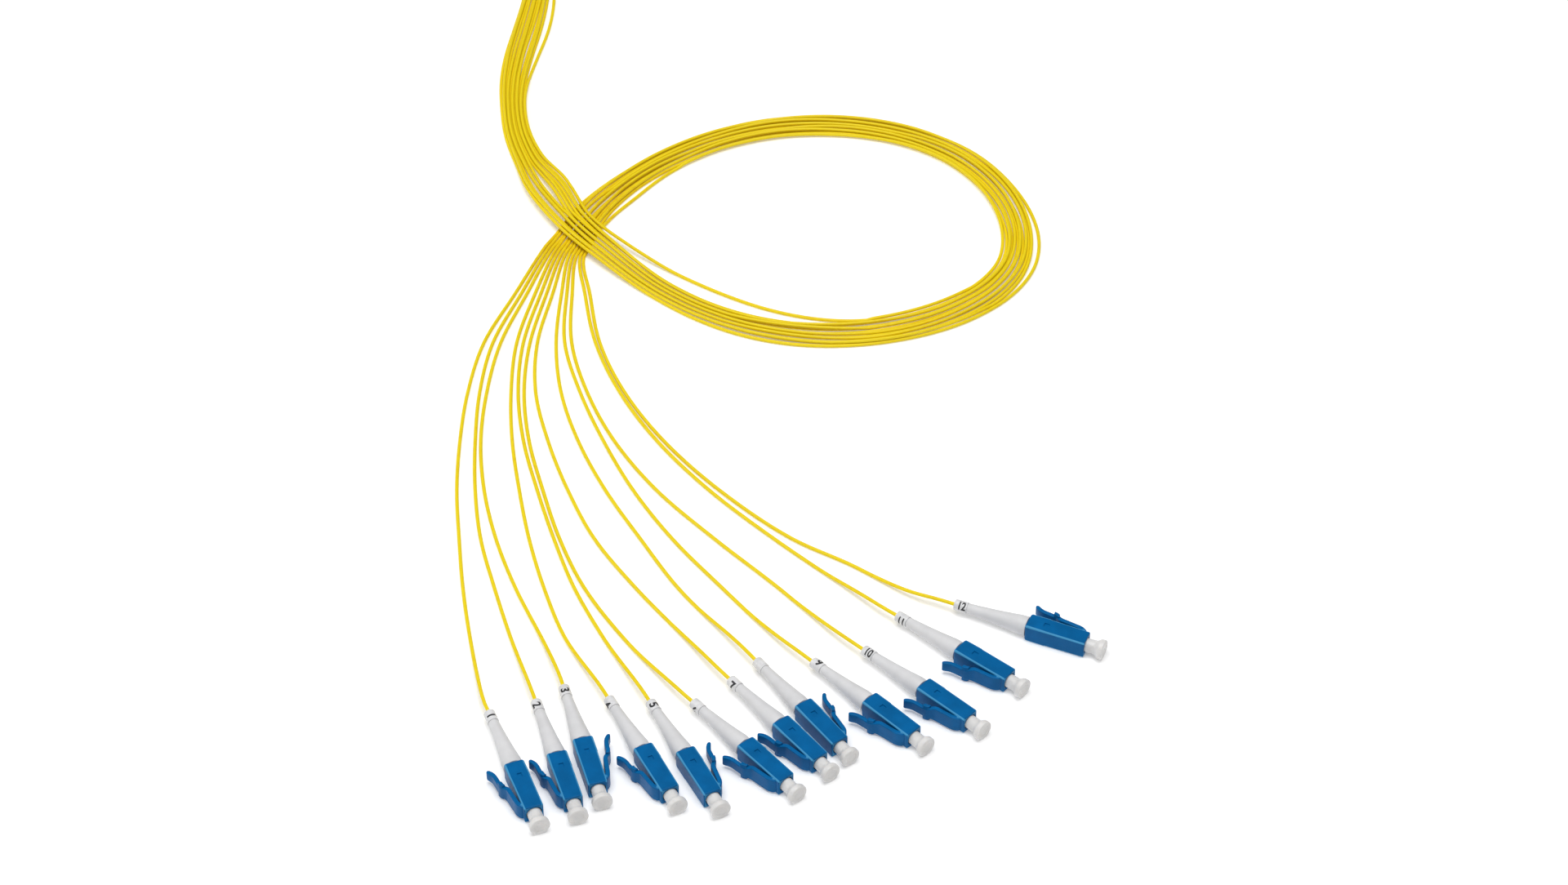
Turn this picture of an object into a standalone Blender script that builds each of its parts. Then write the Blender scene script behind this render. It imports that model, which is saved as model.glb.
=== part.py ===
"""Bundle of twelve fibre pigtails: small-form plugs with latch levers, tapered boots and dust caps,
each on its own one-metre tight-buffered fibre. The plugs lie fanned out on their sides. The fibres
gather into one bundle that makes a loose loop, passes over itself and ends in a tied coil.

Run it with blender --background --python part.py, or from Blender's text editor.
"""

import math

import bmesh
import bpy
from mathutils import Vector

# All driving dimensions are in millimetres. MM turns them into metres.
MM = 0.001

# Fibre
FIBRE_DIAMETER = 0.9
FIBRE_LENGTH = 1000.0
FLOOR_CLEARANCE = 0.03
FACE_GAP = 0.3

# Plug housing, along its own X from the rear face to the front face. Z is the latch side.
HOUSING_LENGTH = 14.8
REAR_WIDTH = 4.8
REAR_HEIGHT = 4.8
FRONT_SIDE = 4.5
REAR_STRAIGHT = 5.2
REAR_ROUND = 0.8
CORNER_ROUND = 0.45
SOCKET_DIAMETER = 3.7
SOCKET_DEPTH = 4.0
WINDOW_LENGTH = 1.3
WINDOW_HEIGHT = 1.1
WINDOW_DEPTH = 0.3
WINDOW_FROM_REAR = 4.7

# Latch lever, moulded with the housing. Stations run from the housing's rear face, and rises are
# heights of the lever's outer side above the housing's.
LATCH_THICKNESS = 1.05
LATCH_SETBACK = 1.1
LATCH_ROOT_LENGTH = 2.4
LATCH_ROOT_RISE = 0.45
LATCH_NOSE_RISE = 0.6
LATCH_NOSE_LENGTH = 1.2
LATCH_FRONT_RISE = 1.15
LATCH_STEP_STATION = 5.6
LATCH_STEP_LENGTH = 1.6
LATCH_STEP_RISE = 1.9
LATCH_ARM_RISE = 3.0
LATCH_CURL_STATION = 2.0
LATCH_CURL_RISE = 3.4
LATCH_TIP_STATION = 0.0
LATCH_TIP_RISE = 4.5
LATCH_FRONT_WIDTH = 4.0
LATCH_ARM_WIDTH = 2.6
SHOULDER_STATION = 4.8
SHOULDER_LENGTH = 1.3
SHOULDER_WIDTH = 4.4
LATCH_FACE_STEP = 0.1

# Ferrule
FERRULE_DIAMETER = 1.25
FERRULE_PROTRUSION = 2.0
FERRULE_ROOT = 1.0

# Dust cap
CAP_NECK_DIAMETER = 3.3
CAP_KNOB_DIAMETER = 4.75
CAP_PROTRUSION = 4.4
CAP_KNOB_LENGTH = 1.2
CAP_FLARE_LENGTH = 0.9
CAP_INSERTION = 2.0
CAP_END_ROUND = 0.3
CAP_TIP_ROOM = 0.5

# Boot, from its seat in the housing's rear to its tail. The cone bends at a share of its length,
# where it has a share of its widening.
BOOT_LENGTH = 18.4
BOOT_FRONT_DIAMETER = 4.7
BOOT_COLLAR_LENGTH = 2.0
BOOT_WAIST_DIAMETER = 2.45
BOOT_TAIL_DIAMETER = 2.7
CONE_BEND_PLACE = 0.45
CONE_BEND_WIDENING = 0.36
MARKER_LENGTH = 3.2
MARKER_STEP = 0.4
SPIGOT_DIAMETER = 3.4
SPIGOT_LENGTH = 2.0
SPIGOT_CLEARANCE = 0.3

# Places of the plugs: rear face of the housing (x, y), heading in degrees, and the side of the
# latch seen along the heading, 1 for the right hand and -1 for the left
PLUGS = [
    (-61.0, -112.5, -69.0, 1),
    (-51.5, -109.4, -72.5, 1),
    (-45.8, -104.9, -74.0, -1),
    (-32.1, -107.4, -63.5, 1),
    (-22.5, -108.5, -63.5, -1),
    (-9.0, -106.1, -50.0, 1),
    (-1.0, -99.3, -52.0, 1),
    (4.2, -93.8, -55.0, -1),
    (19.4, -92.3, -46.5, 1),
    (31.9, -87.8, -44.0, 1),
    (40.8, -75.5, -40.0, 1),
    (57.2, -67.3, -24.0, -1),
]

# Fan: the places that each fibre passes on the floor between its boot and the bundle
FANS = [
    [(-73.8, -68.7), (-76.5, -52.2), (-78.5, -35.3), (-80.2, -17.9), (-80.6, 0.1), (-79.8, 18.6),
     (-76.9, 37.7), (-70.0, 57.3)],
    [(-64.3, -68.7), (-69.0, -52.2), (-73.3, -35.3), (-75.7, -17.9), (-76.8, 0.1), (-76.8, 18.6),
     (-74.6, 37.7), (-68.4, 57.3)],
    [(-57.2, -68.7), (-64.0, -52.2), (-69.6, -35.3), (-73.5, -17.9), (-75.4, 0.1), (-75.0, 18.6),
     (-72.6, 37.7), (-66.9, 57.3)],
    [(-51.6, -68.7), (-57.2, -52.2), (-61.6, -35.3), (-64.9, -17.9), (-67.6, 0.1), (-68.9, 18.6),
     (-68.5, 37.7), (-64.8, 57.3)],
    [(-42.6, -68.7), (-50.0, -52.2), (-55.6, -35.3), (-60.5, -17.9), (-64.8, 0.1), (-67.1, 18.6),
     (-66.8, 37.7), (-63.3, 57.3)],
    [(-38.0, -68.7), (-47.6, -52.2), (-54.2, -35.3), (-59.1, -17.9), (-63.4, 0.1), (-65.6, 18.6),
     (-65.1, 37.7), (-61.8, 57.3)],
    [(-23.6, -68.7), (-35.4, -52.2), (-45.8, -35.3), (-53.0, -17.9), (-58.7, 0.1), (-62.7, 18.6),
     (-63.2, 37.7), (-60.2, 57.3)],
    [(-13.4, -68.7), (-25.3, -52.2), (-34.7, -35.3), (-43.8, -17.9), (-51.2, 0.1), (-56.3, 18.6),
     (-58.4, 37.7), (-57.9, 57.3)],
    [(-1.0, -70.4), (-14.8, -52.2), (-27.0, -35.3), (-37.0, -17.9), (-44.9, 0.1), (-51.5, 18.6),
     (-56.2, 37.7), (-56.5, 57.3)],
    [(12.0, -68.2), (-1.4, -52.2), (-16.8, -35.3), (-31.3, -17.9), (-42.2, 0.1), (-49.7, 18.6),
     (-54.4, 37.7), (-55.1, 57.3)],
    [(14.8, -52.2), (-2.4, -35.3), (-18.4, -17.9), (-31.6, 0.1), (-41.5, 18.6), (-48.3, 37.7),
     (-51.8, 57.3)],
    [(30.0, -54.9), (16.4, -44.6), (1.6, -35.0), (-15.9, -17.9), (-29.9, 0.1), (-40.3, 18.6),
     (-47.2, 37.7), (-50.5, 57.3)],
]

# Bundle: the middle of the twelve fibres (x, y), and half its width between the outer fibres.
# It runs from the fan round the loop, over itself, and on to the coil.
BUNDLE = [
    (-57.8, 74.8, 5.6), (-55.0, 81.0, 5.2), (-51.2, 90.0, 4.8), (-46.7, 97.5, 4.5),
    (-39.5, 106.5, 4.2), (-30.5, 114.8, 4.2), (-18.5, 122.6, 4.0), (-4.5, 127.8, 4.0),
    (9.0, 129.3, 4.0), (23.0, 127.8, 4.0), (36.0, 123.2, 4.1), (47.0, 115.6, 4.2),
    (55.2, 105.2, 4.2), (60.4, 93.0, 4.2), (62.2, 80.5, 4.2), (60.4, 69.0, 4.3),
    (54.6, 59.0, 4.5), (45.3, 50.8, 4.6), (33.5, 44.8, 4.7), (20.0, 41.5, 4.8),
    (6.0, 41.4, 4.7), (-8.4, 44.6, 4.3), (-21.0, 50.6, 3.9), (-32.6, 59.4, 3.7),
    (-41.8, 68.2, 3.8), (-48.8, 76.2, 4.0), (-54.9, 84.4, 4.3), (-60.2, 93.4, 4.6),
    (-65.0, 103.0, 4.6), (-69.4, 114.0, 3.8), (-73.0, 125.8, 3.3), (-74.7, 137.7, 3.2),
    (-75.0, 149.8, 3.7), (-74.1, 162.2, 4.2), (-72.6, 174.0, 4.2), (-71.2, 186.0, 3.8),
    (-70.3, 198.0, 3.3), (-70.0, 210.0, 3.1), (-70.0, 221.0, 3.1), (-70.0, 230.0, 3.1),
]

# Low hump where the bundle passes over itself, past a first stretch that it can't be in
OVERPASS = (-54.9, 84.4)
FIRST_STRETCH = 200.0
HUMP_HEIGHT = 1.7
HUMP_FLAT = 12.0
HUMP_RAMP = 26.0

# Fibres that stray from the bundle: first and last fibre, how far along the bundle the stray is
# widest, half its length, and its sideways shift to the outside of the loop
STRAYS = [
    (12, 12, 30.0, 22.0, -1.3),
    (1, 1, 175.0, 30.0, 1.3),
    (12, 12, 280.0, 52.0, -4.4),
    (7, 12, 344.0, 16.0, -1.1),
    (1, 6, 344.0, 16.0, 0.4),
    (12, 12, 425.0, 38.0, -1.6),
]

# Smallest distance between two fibres, and the slow wander of each one from side to side. The
# waves of the twelve differ in length by whole steps, dealt out in a fixed order.
SIDE_PITCH = 0.99
WANDER_SHARE = 0.8
WANDER_FADE = 22.0
WANDER_WAVE = 62.0
WANDER_STEP = 11.0
WANDER_ORDER = 5
WANDER_KINDS = 7
WANDER_TURN = 2.4

# Descent from the boot to the floor
STUB_LENGTH = 4.0
DROP_START = 2.0
DROP_LENGTH = 24.0

# Coil past the far end of the loop, and its ties
COIL_CENTRE = (-40.0, 230.0)
COIL_RADIUS = 30.0
COIL_HALF_WIDTH = 3.1
COIL_PITCH = 2.0
COIL_COVER = 0.1
COIL_CORNER = 0.8
COIL_LIFT_START = 24.0
COIL_LIFT_LENGTH = 22.0
SHORTEST_STEP = 0.02
TIE_THICKNESS = 0.6
TIE_WIDTH = 6.0
TIE_GAP = 0.45
TIE_CORNER = 1.0
TIE_ANGLES = (75.0, -45.0)

# Number of points and sides
FAN_POINTS = 14
BUNDLE_POINTS = 46
LEAD_POINTS = 3
CURVE_SAMPLES = 12
CORNER_STEPS = 2
FILLET_STEPS = 2
TUBE_RESOLUTION = 2
TURN_STEPS = 12
COIL_STEPS = 40
HOLE_SIDES = 12

AXIS_HEIGHT = REAR_WIDTH / 2
FLOOR_LINE = FIBRE_DIAMETER / 2 + FLOOR_CLEARANCE
PLUG_COUNT = len(PLUGS)

BLUE = ((0.0, 0.13, 0.42, 1.0), 0.38)
WHITE = ((0.80, 0.79, 0.80, 1.0), 0.5)
CLEAR_WHITE = ((0.74, 0.73, 0.71, 1.0), 0.4)
YELLOW = ((0.82, 0.66, 0.02, 1.0), 0.45)
TIE_GREY = ((0.72, 0.72, 0.70, 1.0), 0.5)


def clear_scene():
    for old in list(bpy.data.objects):
        bpy.data.objects.remove(old, do_unlink=True)


def new_collection(name):
    made = bpy.data.collections.new(name)
    bpy.context.scene.collection.children.link(made)
    return made


def material(name, finish):
    colour, roughness = finish
    made = bpy.data.materials.new(name)
    made.use_nodes = True
    shader = made.node_tree.nodes["Principled BSDF"]
    shader.inputs["Base Color"].default_value = colour
    shader.inputs["Roughness"].default_value = roughness
    shader.inputs["Metallic"].default_value = 0.0
    return made


def link_object(name, data, collection, finish=None):
    made = bpy.data.objects.new(name, data)
    collection.objects.link(made)
    if finish is not None and not data.materials:
        data.materials.append(finish)
    return made


def mesh_from(bm, name):
    mesh = bpy.data.meshes.new(name)
    bm.to_mesh(mesh)
    bm.free()
    return mesh


def box_mesh(name, low, high):
    """Box between two corners, in millimetres."""
    bm = bmesh.new()
    bmesh.ops.create_cube(bm, size=1.0)
    for vert in bm.verts:
        vert.co = Vector([(a + (c + 0.5) * (b - a)) * MM for a, b, c in zip(low, high, vert.co)])
    return mesh_from(bm, name)


def rod_mesh(name, start, end, diameter, sides):
    """Cylinder along X between two stations, in millimetres."""
    bm = bmesh.new()
    bmesh.ops.create_cone(bm, cap_ends=True, segments=sides, radius1=diameter / 2 * MM,
                          radius2=diameter / 2 * MM, depth=(end - start) * MM)
    for vert in bm.verts:
        x, y, z = vert.co
        vert.co = Vector((z + (start + end) / 2 * MM, y, -x))
    return mesh_from(bm, name)


def evaluated_mesh(obj):
    """Plain mesh of an object with its modifiers or its curve settings applied, in its own frame."""
    bpy.context.view_layer.update()
    graph = bpy.context.evaluated_depsgraph_get()
    mesh = bpy.data.meshes.new_from_object(obj.evaluated_get(graph))
    bm = bmesh.new()
    bm.from_mesh(mesh)
    bmesh.ops.remove_doubles(bm, verts=bm.verts, dist=0.001 * MM)
    bm.to_mesh(mesh)
    bm.free()
    return mesh


def outline_solid(name, loops, width, collection):
    """Flat outline in the X-Z plane, extruded to a width about Y = 0. Later loops are holes."""
    curve = bpy.data.curves.new(name, "CURVE")
    curve.dimensions = "2D"
    curve.fill_mode = "BOTH"
    curve.extrude = width / 2 * MM
    for loop in loops:
        spline = curve.splines.new("POLY")
        spline.points.add(len(loop) - 1)
        for point, (x, z) in zip(spline.points, loop):
            point.co = (x * MM, z * MM, 0.0, 1.0)
        spline.use_cyclic_u = True
    flat = link_object(name + "_outline", curve, collection)
    flat.rotation_euler = (math.pi / 2, 0.0, 0.0)
    mesh = evaluated_mesh(flat)
    mesh.transform(flat.matrix_world)
    bpy.data.objects.remove(flat, do_unlink=True)
    return link_object(name, mesh, collection)


def turned_mesh(name, profile, steps, collection):
    """Solid of revolution about X. The profile (radius, x) runs from the front to the rear."""
    mesh = bpy.data.meshes.new(name)
    points = [(radius * MM, 0.0, x * MM) for radius, x in profile]
    mesh.from_pydata(points, [(i, i + 1) for i in range(len(points) - 1)], [])
    turned = link_object(name + "_profile", mesh, collection)
    screw = turned.modifiers.new("turn", "SCREW")
    screw.axis = "Z"
    screw.steps = steps
    screw.render_steps = steps
    screw.use_merge_vertices = True
    screw.merge_threshold = 0.01 * MM
    solid = evaluated_mesh(turned)
    for vert in solid.vertices:
        x, y, z = vert.co
        vert.co = (z, y, -x)
    bpy.data.objects.remove(turned, do_unlink=True)
    solid.shade_smooth()
    solid.set_sharp_from_angle(angle=math.radians(35))
    return solid


def add_boolean(target, operation, tool):
    step = target.modifiers.new(tool.name, "BOOLEAN")
    step.operation = operation
    step.solver = "EXACT"
    step.object = tool
    tool.hide_render = True
    tool.display_type = "WIRE"


def lever_line():
    """Outer side of the lever (x, z), from its nose back to its curled tip."""
    side = FRONT_SIDE / 2
    nose = HOUSING_LENGTH - LATCH_SETBACK
    return [(nose, side + LATCH_NOSE_RISE), (nose - LATCH_NOSE_LENGTH, side + LATCH_FRONT_RISE),
            (LATCH_STEP_STATION + LATCH_STEP_LENGTH, side + LATCH_STEP_RISE),
            (LATCH_STEP_STATION, side + LATCH_ARM_RISE),
            (LATCH_CURL_STATION, side + LATCH_CURL_RISE), (LATCH_TIP_STATION, side + LATCH_TIP_RISE)]


def lever_height(x):
    """Height of the lever's outer side at a station."""
    line = lever_line()
    for (x_front, z_front), (x_rear, z_rear) in zip(line, line[1:]):
        if x_rear <= x <= x_front:
            return z_front + (z_rear - z_front) * (x_front - x) / (x_front - x_rear)
    return line[-1][1]


def lever_loop(front, rear, face_step):
    """Side outline of the lever between two stations, a face step thinner on both sides."""
    stations = [front] + [x for x, _ in lever_line() if rear < x < front] + [rear]
    outer = [(x, lever_height(x) - face_step) for x in stations]
    inner = [(x, lever_height(x) - LATCH_THICKNESS + face_step) for x in reversed(stations)]
    return outer + inner


def lever_objects(collection):
    """Lever in four overlapping pieces: its arm, its wide front stretch, its root and its shoulders."""
    side = FRONT_SIDE / 2
    nose = HOUSING_LENGTH - LATCH_SETBACK
    arm = lever_loop(nose, LATCH_TIP_STATION, 0.0)
    wide_nose = nose - LATCH_FACE_STEP
    front = lever_loop(wide_nose, LATCH_STEP_STATION + LATCH_STEP_LENGTH, LATCH_FACE_STEP)
    shoulder = lever_loop(SHOULDER_STATION + SHOULDER_LENGTH, SHOULDER_STATION, LATCH_FACE_STEP / 2)
    root_nose = wide_nose - LATCH_FACE_STEP
    root_rear = nose - LATCH_ROOT_LENGTH
    root = [(root_nose, side - CORNER_ROUND), (root_nose, side + LATCH_ROOT_RISE),
            (root_rear, side + LATCH_ROOT_RISE), (root_rear, side - CORNER_ROUND)]
    root_width = LATCH_FRONT_WIDTH - 2 * LATCH_FACE_STEP
    return [outline_solid("lever_arm", [arm], LATCH_ARM_WIDTH, collection),
            outline_solid("lever_front", [front], LATCH_FRONT_WIDTH, collection),
            outline_solid("lever_root", [root], root_width, collection),
            outline_solid("lever_shoulders", [shoulder], SHOULDER_WIDTH, collection)]


def rounded_ring(x, width, height):
    """Cross-section of the housing at a station, with rounded corners, in metres."""
    ring = []
    for quarter, (y_side, z_side) in enumerate([(1, 1), (-1, 1), (-1, -1), (1, -1)]):
        for step in range(CORNER_STEPS + 1):
            angle = math.pi / 2 * (quarter + step / CORNER_STEPS)
            y = y_side * (width / 2 - CORNER_ROUND) + CORNER_ROUND * math.cos(angle)
            z = z_side * (height / 2 - CORNER_ROUND) + CORNER_ROUND * math.sin(angle)
            ring.append(Vector((x, y, z)) * MM)
    return ring


def housing_body(collection):
    """Block with rounded corners and a rounded rear end, straight at the rear and tapered in front."""
    rings = []
    for step in range(FILLET_STEPS + 1):
        angle = math.pi / 2 * step / FILLET_STEPS
        inset = REAR_ROUND * (1.0 - math.sin(angle))
        x = REAR_ROUND * (1.0 - math.cos(angle))
        rings.append(rounded_ring(x, REAR_WIDTH - 2 * inset, REAR_HEIGHT - 2 * inset))
    rings.append(rounded_ring(REAR_STRAIGHT, REAR_WIDTH, REAR_HEIGHT))
    rings.append(rounded_ring(HOUSING_LENGTH, FRONT_SIDE, FRONT_SIDE))
    bm = bmesh.new()
    rows = [[bm.verts.new(point) for point in ring] for ring in rings]
    for low, high in zip(rows, rows[1:]):
        for i, vert in enumerate(low):
            j = (i + 1) % len(low)
            bm.faces.new((vert, low[j], high[j], high[i]))
    bm.faces.new(rows[0])
    bm.faces.new(rows[-1])
    bmesh.ops.recalc_face_normals(bm, faces=bm.faces)
    return link_object("housing_body", mesh_from(bm, "housing_body"), collection)


def housing_mesh(collection):
    """Housing with its lever, ferrule, front socket, boot bore and side windows, as one moulding."""
    body = housing_body(collection)
    steps = [("UNION", piece) for piece in lever_objects(collection)]
    past = CORNER_ROUND
    socket = rod_mesh("socket", HOUSING_LENGTH - SOCKET_DEPTH, HOUSING_LENGTH + past, SOCKET_DIAMETER,
                      HOLE_SIDES)
    steps.append(("DIFFERENCE", link_object("socket", socket, collection)))
    bore = rod_mesh("boot_bore", -past, SPIGOT_LENGTH, SPIGOT_DIAMETER + 2 * SPIGOT_CLEARANCE, HOLE_SIDES)
    steps.append(("DIFFERENCE", link_object("boot_bore", bore, collection)))
    for side in (-1, 1):
        floor = side * (REAR_WIDTH / 2 - WINDOW_DEPTH)
        outside = side * (REAR_WIDTH / 2 + past)
        low = (WINDOW_FROM_REAR - WINDOW_LENGTH / 2, min(floor, outside), -WINDOW_HEIGHT / 2)
        high = (WINDOW_FROM_REAR + WINDOW_LENGTH / 2, max(floor, outside), WINDOW_HEIGHT / 2)
        window = link_object("window", box_mesh("window", low, high), collection)
        steps.append(("DIFFERENCE", window))
    ferrule = rod_mesh("ferrule", HOUSING_LENGTH - SOCKET_DEPTH - FERRULE_ROOT,
                       HOUSING_LENGTH + FERRULE_PROTRUSION, FERRULE_DIAMETER, TURN_STEPS)
    steps.append(("UNION", link_object("ferrule", ferrule, collection)))
    for operation, tool in steps:
        add_boolean(body, operation, tool)
    mesh = evaluated_mesh(body)
    mesh.name = "housing"
    bpy.data.objects.remove(body, do_unlink=True)
    return mesh


def cap_profile():
    """Dust cap from its end to its rim, then up its bore over the ferrule."""
    front = HOUSING_LENGTH + CAP_PROTRUSION
    knob = CAP_KNOB_DIAMETER / 2
    neck = CAP_NECK_DIAMETER / 2
    bore = FERRULE_DIAMETER / 2 + FACE_GAP
    rim = HOUSING_LENGTH - CAP_INSERTION
    bottom = HOUSING_LENGTH + FERRULE_PROTRUSION + CAP_TIP_ROOM
    return [(0.0, front), (knob - CAP_END_ROUND, front), (knob, front - CAP_END_ROUND),
            (knob, front - CAP_KNOB_LENGTH), (neck, front - CAP_KNOB_LENGTH - CAP_FLARE_LENGTH),
            (neck, rim), (bore, rim), (bore, bottom), (0.0, bottom)]


def boot_profile():
    """Boot from its spigot in the housing back to its tail."""
    front = BOOT_FRONT_DIAMETER / 2
    waist = BOOT_WAIST_DIAMETER / 2
    tail = BOOT_TAIL_DIAMETER / 2
    spigot = SPIGOT_DIAMETER / 2
    marker = -BOOT_LENGTH + MARKER_LENGTH
    seat = -FACE_GAP
    cone_rear = marker + MARKER_STEP
    cone_front = seat - BOOT_COLLAR_LENGTH
    bend = cone_rear + (cone_front - cone_rear) * CONE_BEND_PLACE
    return [(0.0, SPIGOT_LENGTH - FACE_GAP), (spigot, SPIGOT_LENGTH - FACE_GAP), (spigot, seat),
            (front, seat), (front, cone_front), (waist + (front - waist) * CONE_BEND_WIDENING, bend),
            (waist, cone_rear), (tail, marker), (tail, -BOOT_LENGTH), (0.0, -BOOT_LENGTH)]


def between(a, b, knot_a, knot_b, t):
    return (a * (knot_b - t) + b * (t - knot_a)) / (knot_b - knot_a)


def curve_through(points, samples):
    """Dense centripetal Catmull-Rom curve through a list of vectors."""
    ends = [points[0] * 2 - points[1]] + list(points) + [points[-1] * 2 - points[-2]]
    dense = []
    for i in range(len(points) - 1):
        p0, p1, p2, p3 = ends[i:i + 4]
        t0 = 0.0
        t1 = t0 + (p1 - p0).length ** 0.5
        t2 = t1 + (p2 - p1).length ** 0.5
        t3 = t2 + (p3 - p2).length ** 0.5
        for k in range(samples):
            t = t1 + (t2 - t1) * k / samples
            a1 = between(p0, p1, t0, t1, t)
            a2 = between(p1, p2, t1, t2, t)
            a3 = between(p2, p3, t2, t3, t)
            b1 = between(a1, a2, t0, t2, t)
            b2 = between(a2, a3, t1, t3, t)
            dense.append(between(b1, b2, t1, t2, t))
    dense.append(points[-1])
    return dense


def floor_lengths(points):
    """How far along the floor each point of a route lies."""
    lengths = [0.0]
    for a, b in zip(points, points[1:]):
        lengths.append(lengths[-1] + (b.to_2d() - a.to_2d()).length)
    return lengths


def evenly_spaced(points, count):
    """The same curve with a given number of points at equal distances along the floor."""
    lengths = floor_lengths(points)
    spaced = []
    j = 0
    for k in range(count):
        want = lengths[-1] * k / (count - 1)
        while j < len(points) - 2 and lengths[j + 1] < want:
            j += 1
        share = (want - lengths[j]) / (lengths[j + 1] - lengths[j])
        spaced.append(points[j].lerp(points[j + 1], min(max(share, 0.0), 1.0)))
    return spaced


def ease(x):
    """Smooth step from 0 to 1."""
    x = min(max(x, 0.0), 1.0)
    return x * x * (3.0 - 2.0 * x)


def bulge(distance, half_length):
    """Smooth bump that is 1 in its middle and 0 past half its length."""
    return ease(1.0 - abs(distance) / half_length)


def bundle_stations():
    """Stations along the bundle: place, direction to the left, half width, distance and base height."""
    route = [Vector(point) for point in BUNDLE]
    middle = evenly_spaced(curve_through(route, CURVE_SAMPLES), BUNDLE_POINTS)
    distances = floor_lengths(middle)
    overpass = Vector(OVERPASS)
    later = [k for k in range(BUNDLE_POINTS) if distances[k] > FIRST_STRETCH]
    over = distances[min(later, key=lambda k: (middle[k].to_2d() - overpass).length)]
    stations = []
    for k, point in enumerate(middle):
        ahead = middle[min(k + 1, BUNDLE_POINTS - 1)] - middle[max(k - 1, 0)]
        left = Vector((-ahead.y, ahead.x)).normalized()
        hump = ease((HUMP_FLAT + HUMP_RAMP - abs(distances[k] - over)) / HUMP_RAMP)
        to_coil = distances[-1] - distances[k]
        coil_rise = ease((COIL_LIFT_LENGTH + COIL_LIFT_START - to_coil) / COIL_LIFT_LENGTH)
        base = HUMP_HEIGHT * hump + (TIE_THICKNESS + FACE_GAP) * coil_rise
        stations.append((point.to_2d(), left, point.z, distances[k], base))
    return stations


def side_places(half_width, distance):
    """Sideways place of each fibre in the bundle, with its wander and strays, outer fibre first."""
    pitch = 2 * half_width / (PLUG_COUNT - 1)
    slack = max(pitch - SIDE_PITCH / 2, 0.0) * WANDER_SHARE * ease(distance / WANDER_FADE)
    places = []
    for i in range(PLUG_COUNT):
        wave = WANDER_WAVE + WANDER_STEP * (WANDER_ORDER * i % WANDER_KINDS)
        phase = 2 * math.pi * distance / wave + WANDER_TURN * i
        side = half_width - pitch * i + slack * math.sin(phase)
        for first, last, centre, half_length, shift in STRAYS:
            if first <= i + 1 <= last:
                side += shift * bulge(distance - centre, half_length)
        places.append(side)
    return places


def layer_heights(places):
    """Every second fibre rests on its neighbours where they leave it no room on the floor."""
    heights = [0.0] * len(places)
    for i in range(1, len(places), 2):
        gaps = [abs(places[i] - places[j]) for j in (i - 1, i + 1) if j < len(places)]
        heights[i] = max(math.sqrt(max(SIDE_PITCH ** 2 - gap ** 2, 0.0)) for gap in gaps)
    return heights


def bundle_lanes():
    """Places of the twelve fibres at every station of the bundle."""
    lanes = [[] for _ in PLUGS]
    for point, left, half_width, distance, base in bundle_stations():
        places = side_places(half_width, distance)
        heights = layer_heights(places)
        for lane, side, height in zip(lanes, places, heights):
            place = point + left * side
            lane.append(Vector((place.x, place.y, FLOOR_LINE + base + height)))
    return lanes


def heading_vector(heading):
    return Vector((math.cos(math.radians(heading)), math.sin(math.radians(heading))))


def fibre_route(index, lane):
    """Route of one fibre from its boot to the coil."""
    x, y, heading, _ = PLUGS[index]
    ahead = heading_vector(heading)
    tail = Vector((x, y)) - ahead * (BOOT_LENGTH + FACE_GAP)
    fan = [tail, tail - ahead * STUB_LENGTH] + [Vector(point) for point in FANS[index]]
    flat = [point.to_3d() for point in fan] + [Vector((p.x, p.y, 0.0)) for p in lane[:LEAD_POINTS]]
    dense = curve_through(flat, CURVE_SAMPLES)[:len(fan) * CURVE_SAMPLES + 1]
    drop = AXIS_HEIGHT - FLOOR_LINE
    points = evenly_spaced(dense, FAN_POINTS)
    route = []
    for point, run in zip(points, floor_lengths(points)):
        height = FLOOR_LINE + drop * (1.0 - ease((run - DROP_START) / DROP_LENGTH))
        route.append(Vector((point.x, point.y, height)))
    route[-1].z = lane[0].z
    centre = Vector(COIL_CENTRE)
    clear = COIL_RADIUS + COIL_HALF_WIDTH + FIBRE_DIAMETER + COIL_COVER + FACE_GAP
    for before, after in zip(lane, lane[1:]):
        far = (before.to_2d() - centre).length
        near = (after.to_2d() - centre).length
        if near < clear:
            share = (far - clear) / (far - near)
            route.append(before.lerp(after, max(share, SHORTEST_STEP)))
            break
        route.append(after)
    return route


def fibre_object(index, route, finish, collection):
    curve = bpy.data.curves.new(f"fibre_{index + 1:02d}", "CURVE")
    curve.dimensions = "3D"
    curve.bevel_depth = FIBRE_DIAMETER / 2 * MM
    curve.bevel_resolution = TUBE_RESOLUTION
    curve.use_fill_caps = True
    spline = curve.splines.new("POLY")
    spline.points.add(len(route) - 1)
    for point, place in zip(spline.points, route):
        point.co = (*(place * MM), 1.0)
    return link_object(curve.name, curve, collection, finish)


def route_length(route):
    return sum((b - a).length for a, b in zip(route, route[1:]))


def coil_height(routes):
    """Height of the wound coil, from the length that is left on the fibre with the most turns."""
    inner = COIL_RADIUS - COIL_HALF_WIDTH
    turns = max((FIBRE_LENGTH - route_length(route)) / (2 * math.pi * inner) for route in routes)
    pitch = 2 * COIL_HALF_WIDTH / (PLUG_COUNT - 1)
    group = FIBRE_DIAMETER + math.sqrt(SIDE_PITCH ** 2 - pitch ** 2)
    return turns * COIL_PITCH + group


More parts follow.
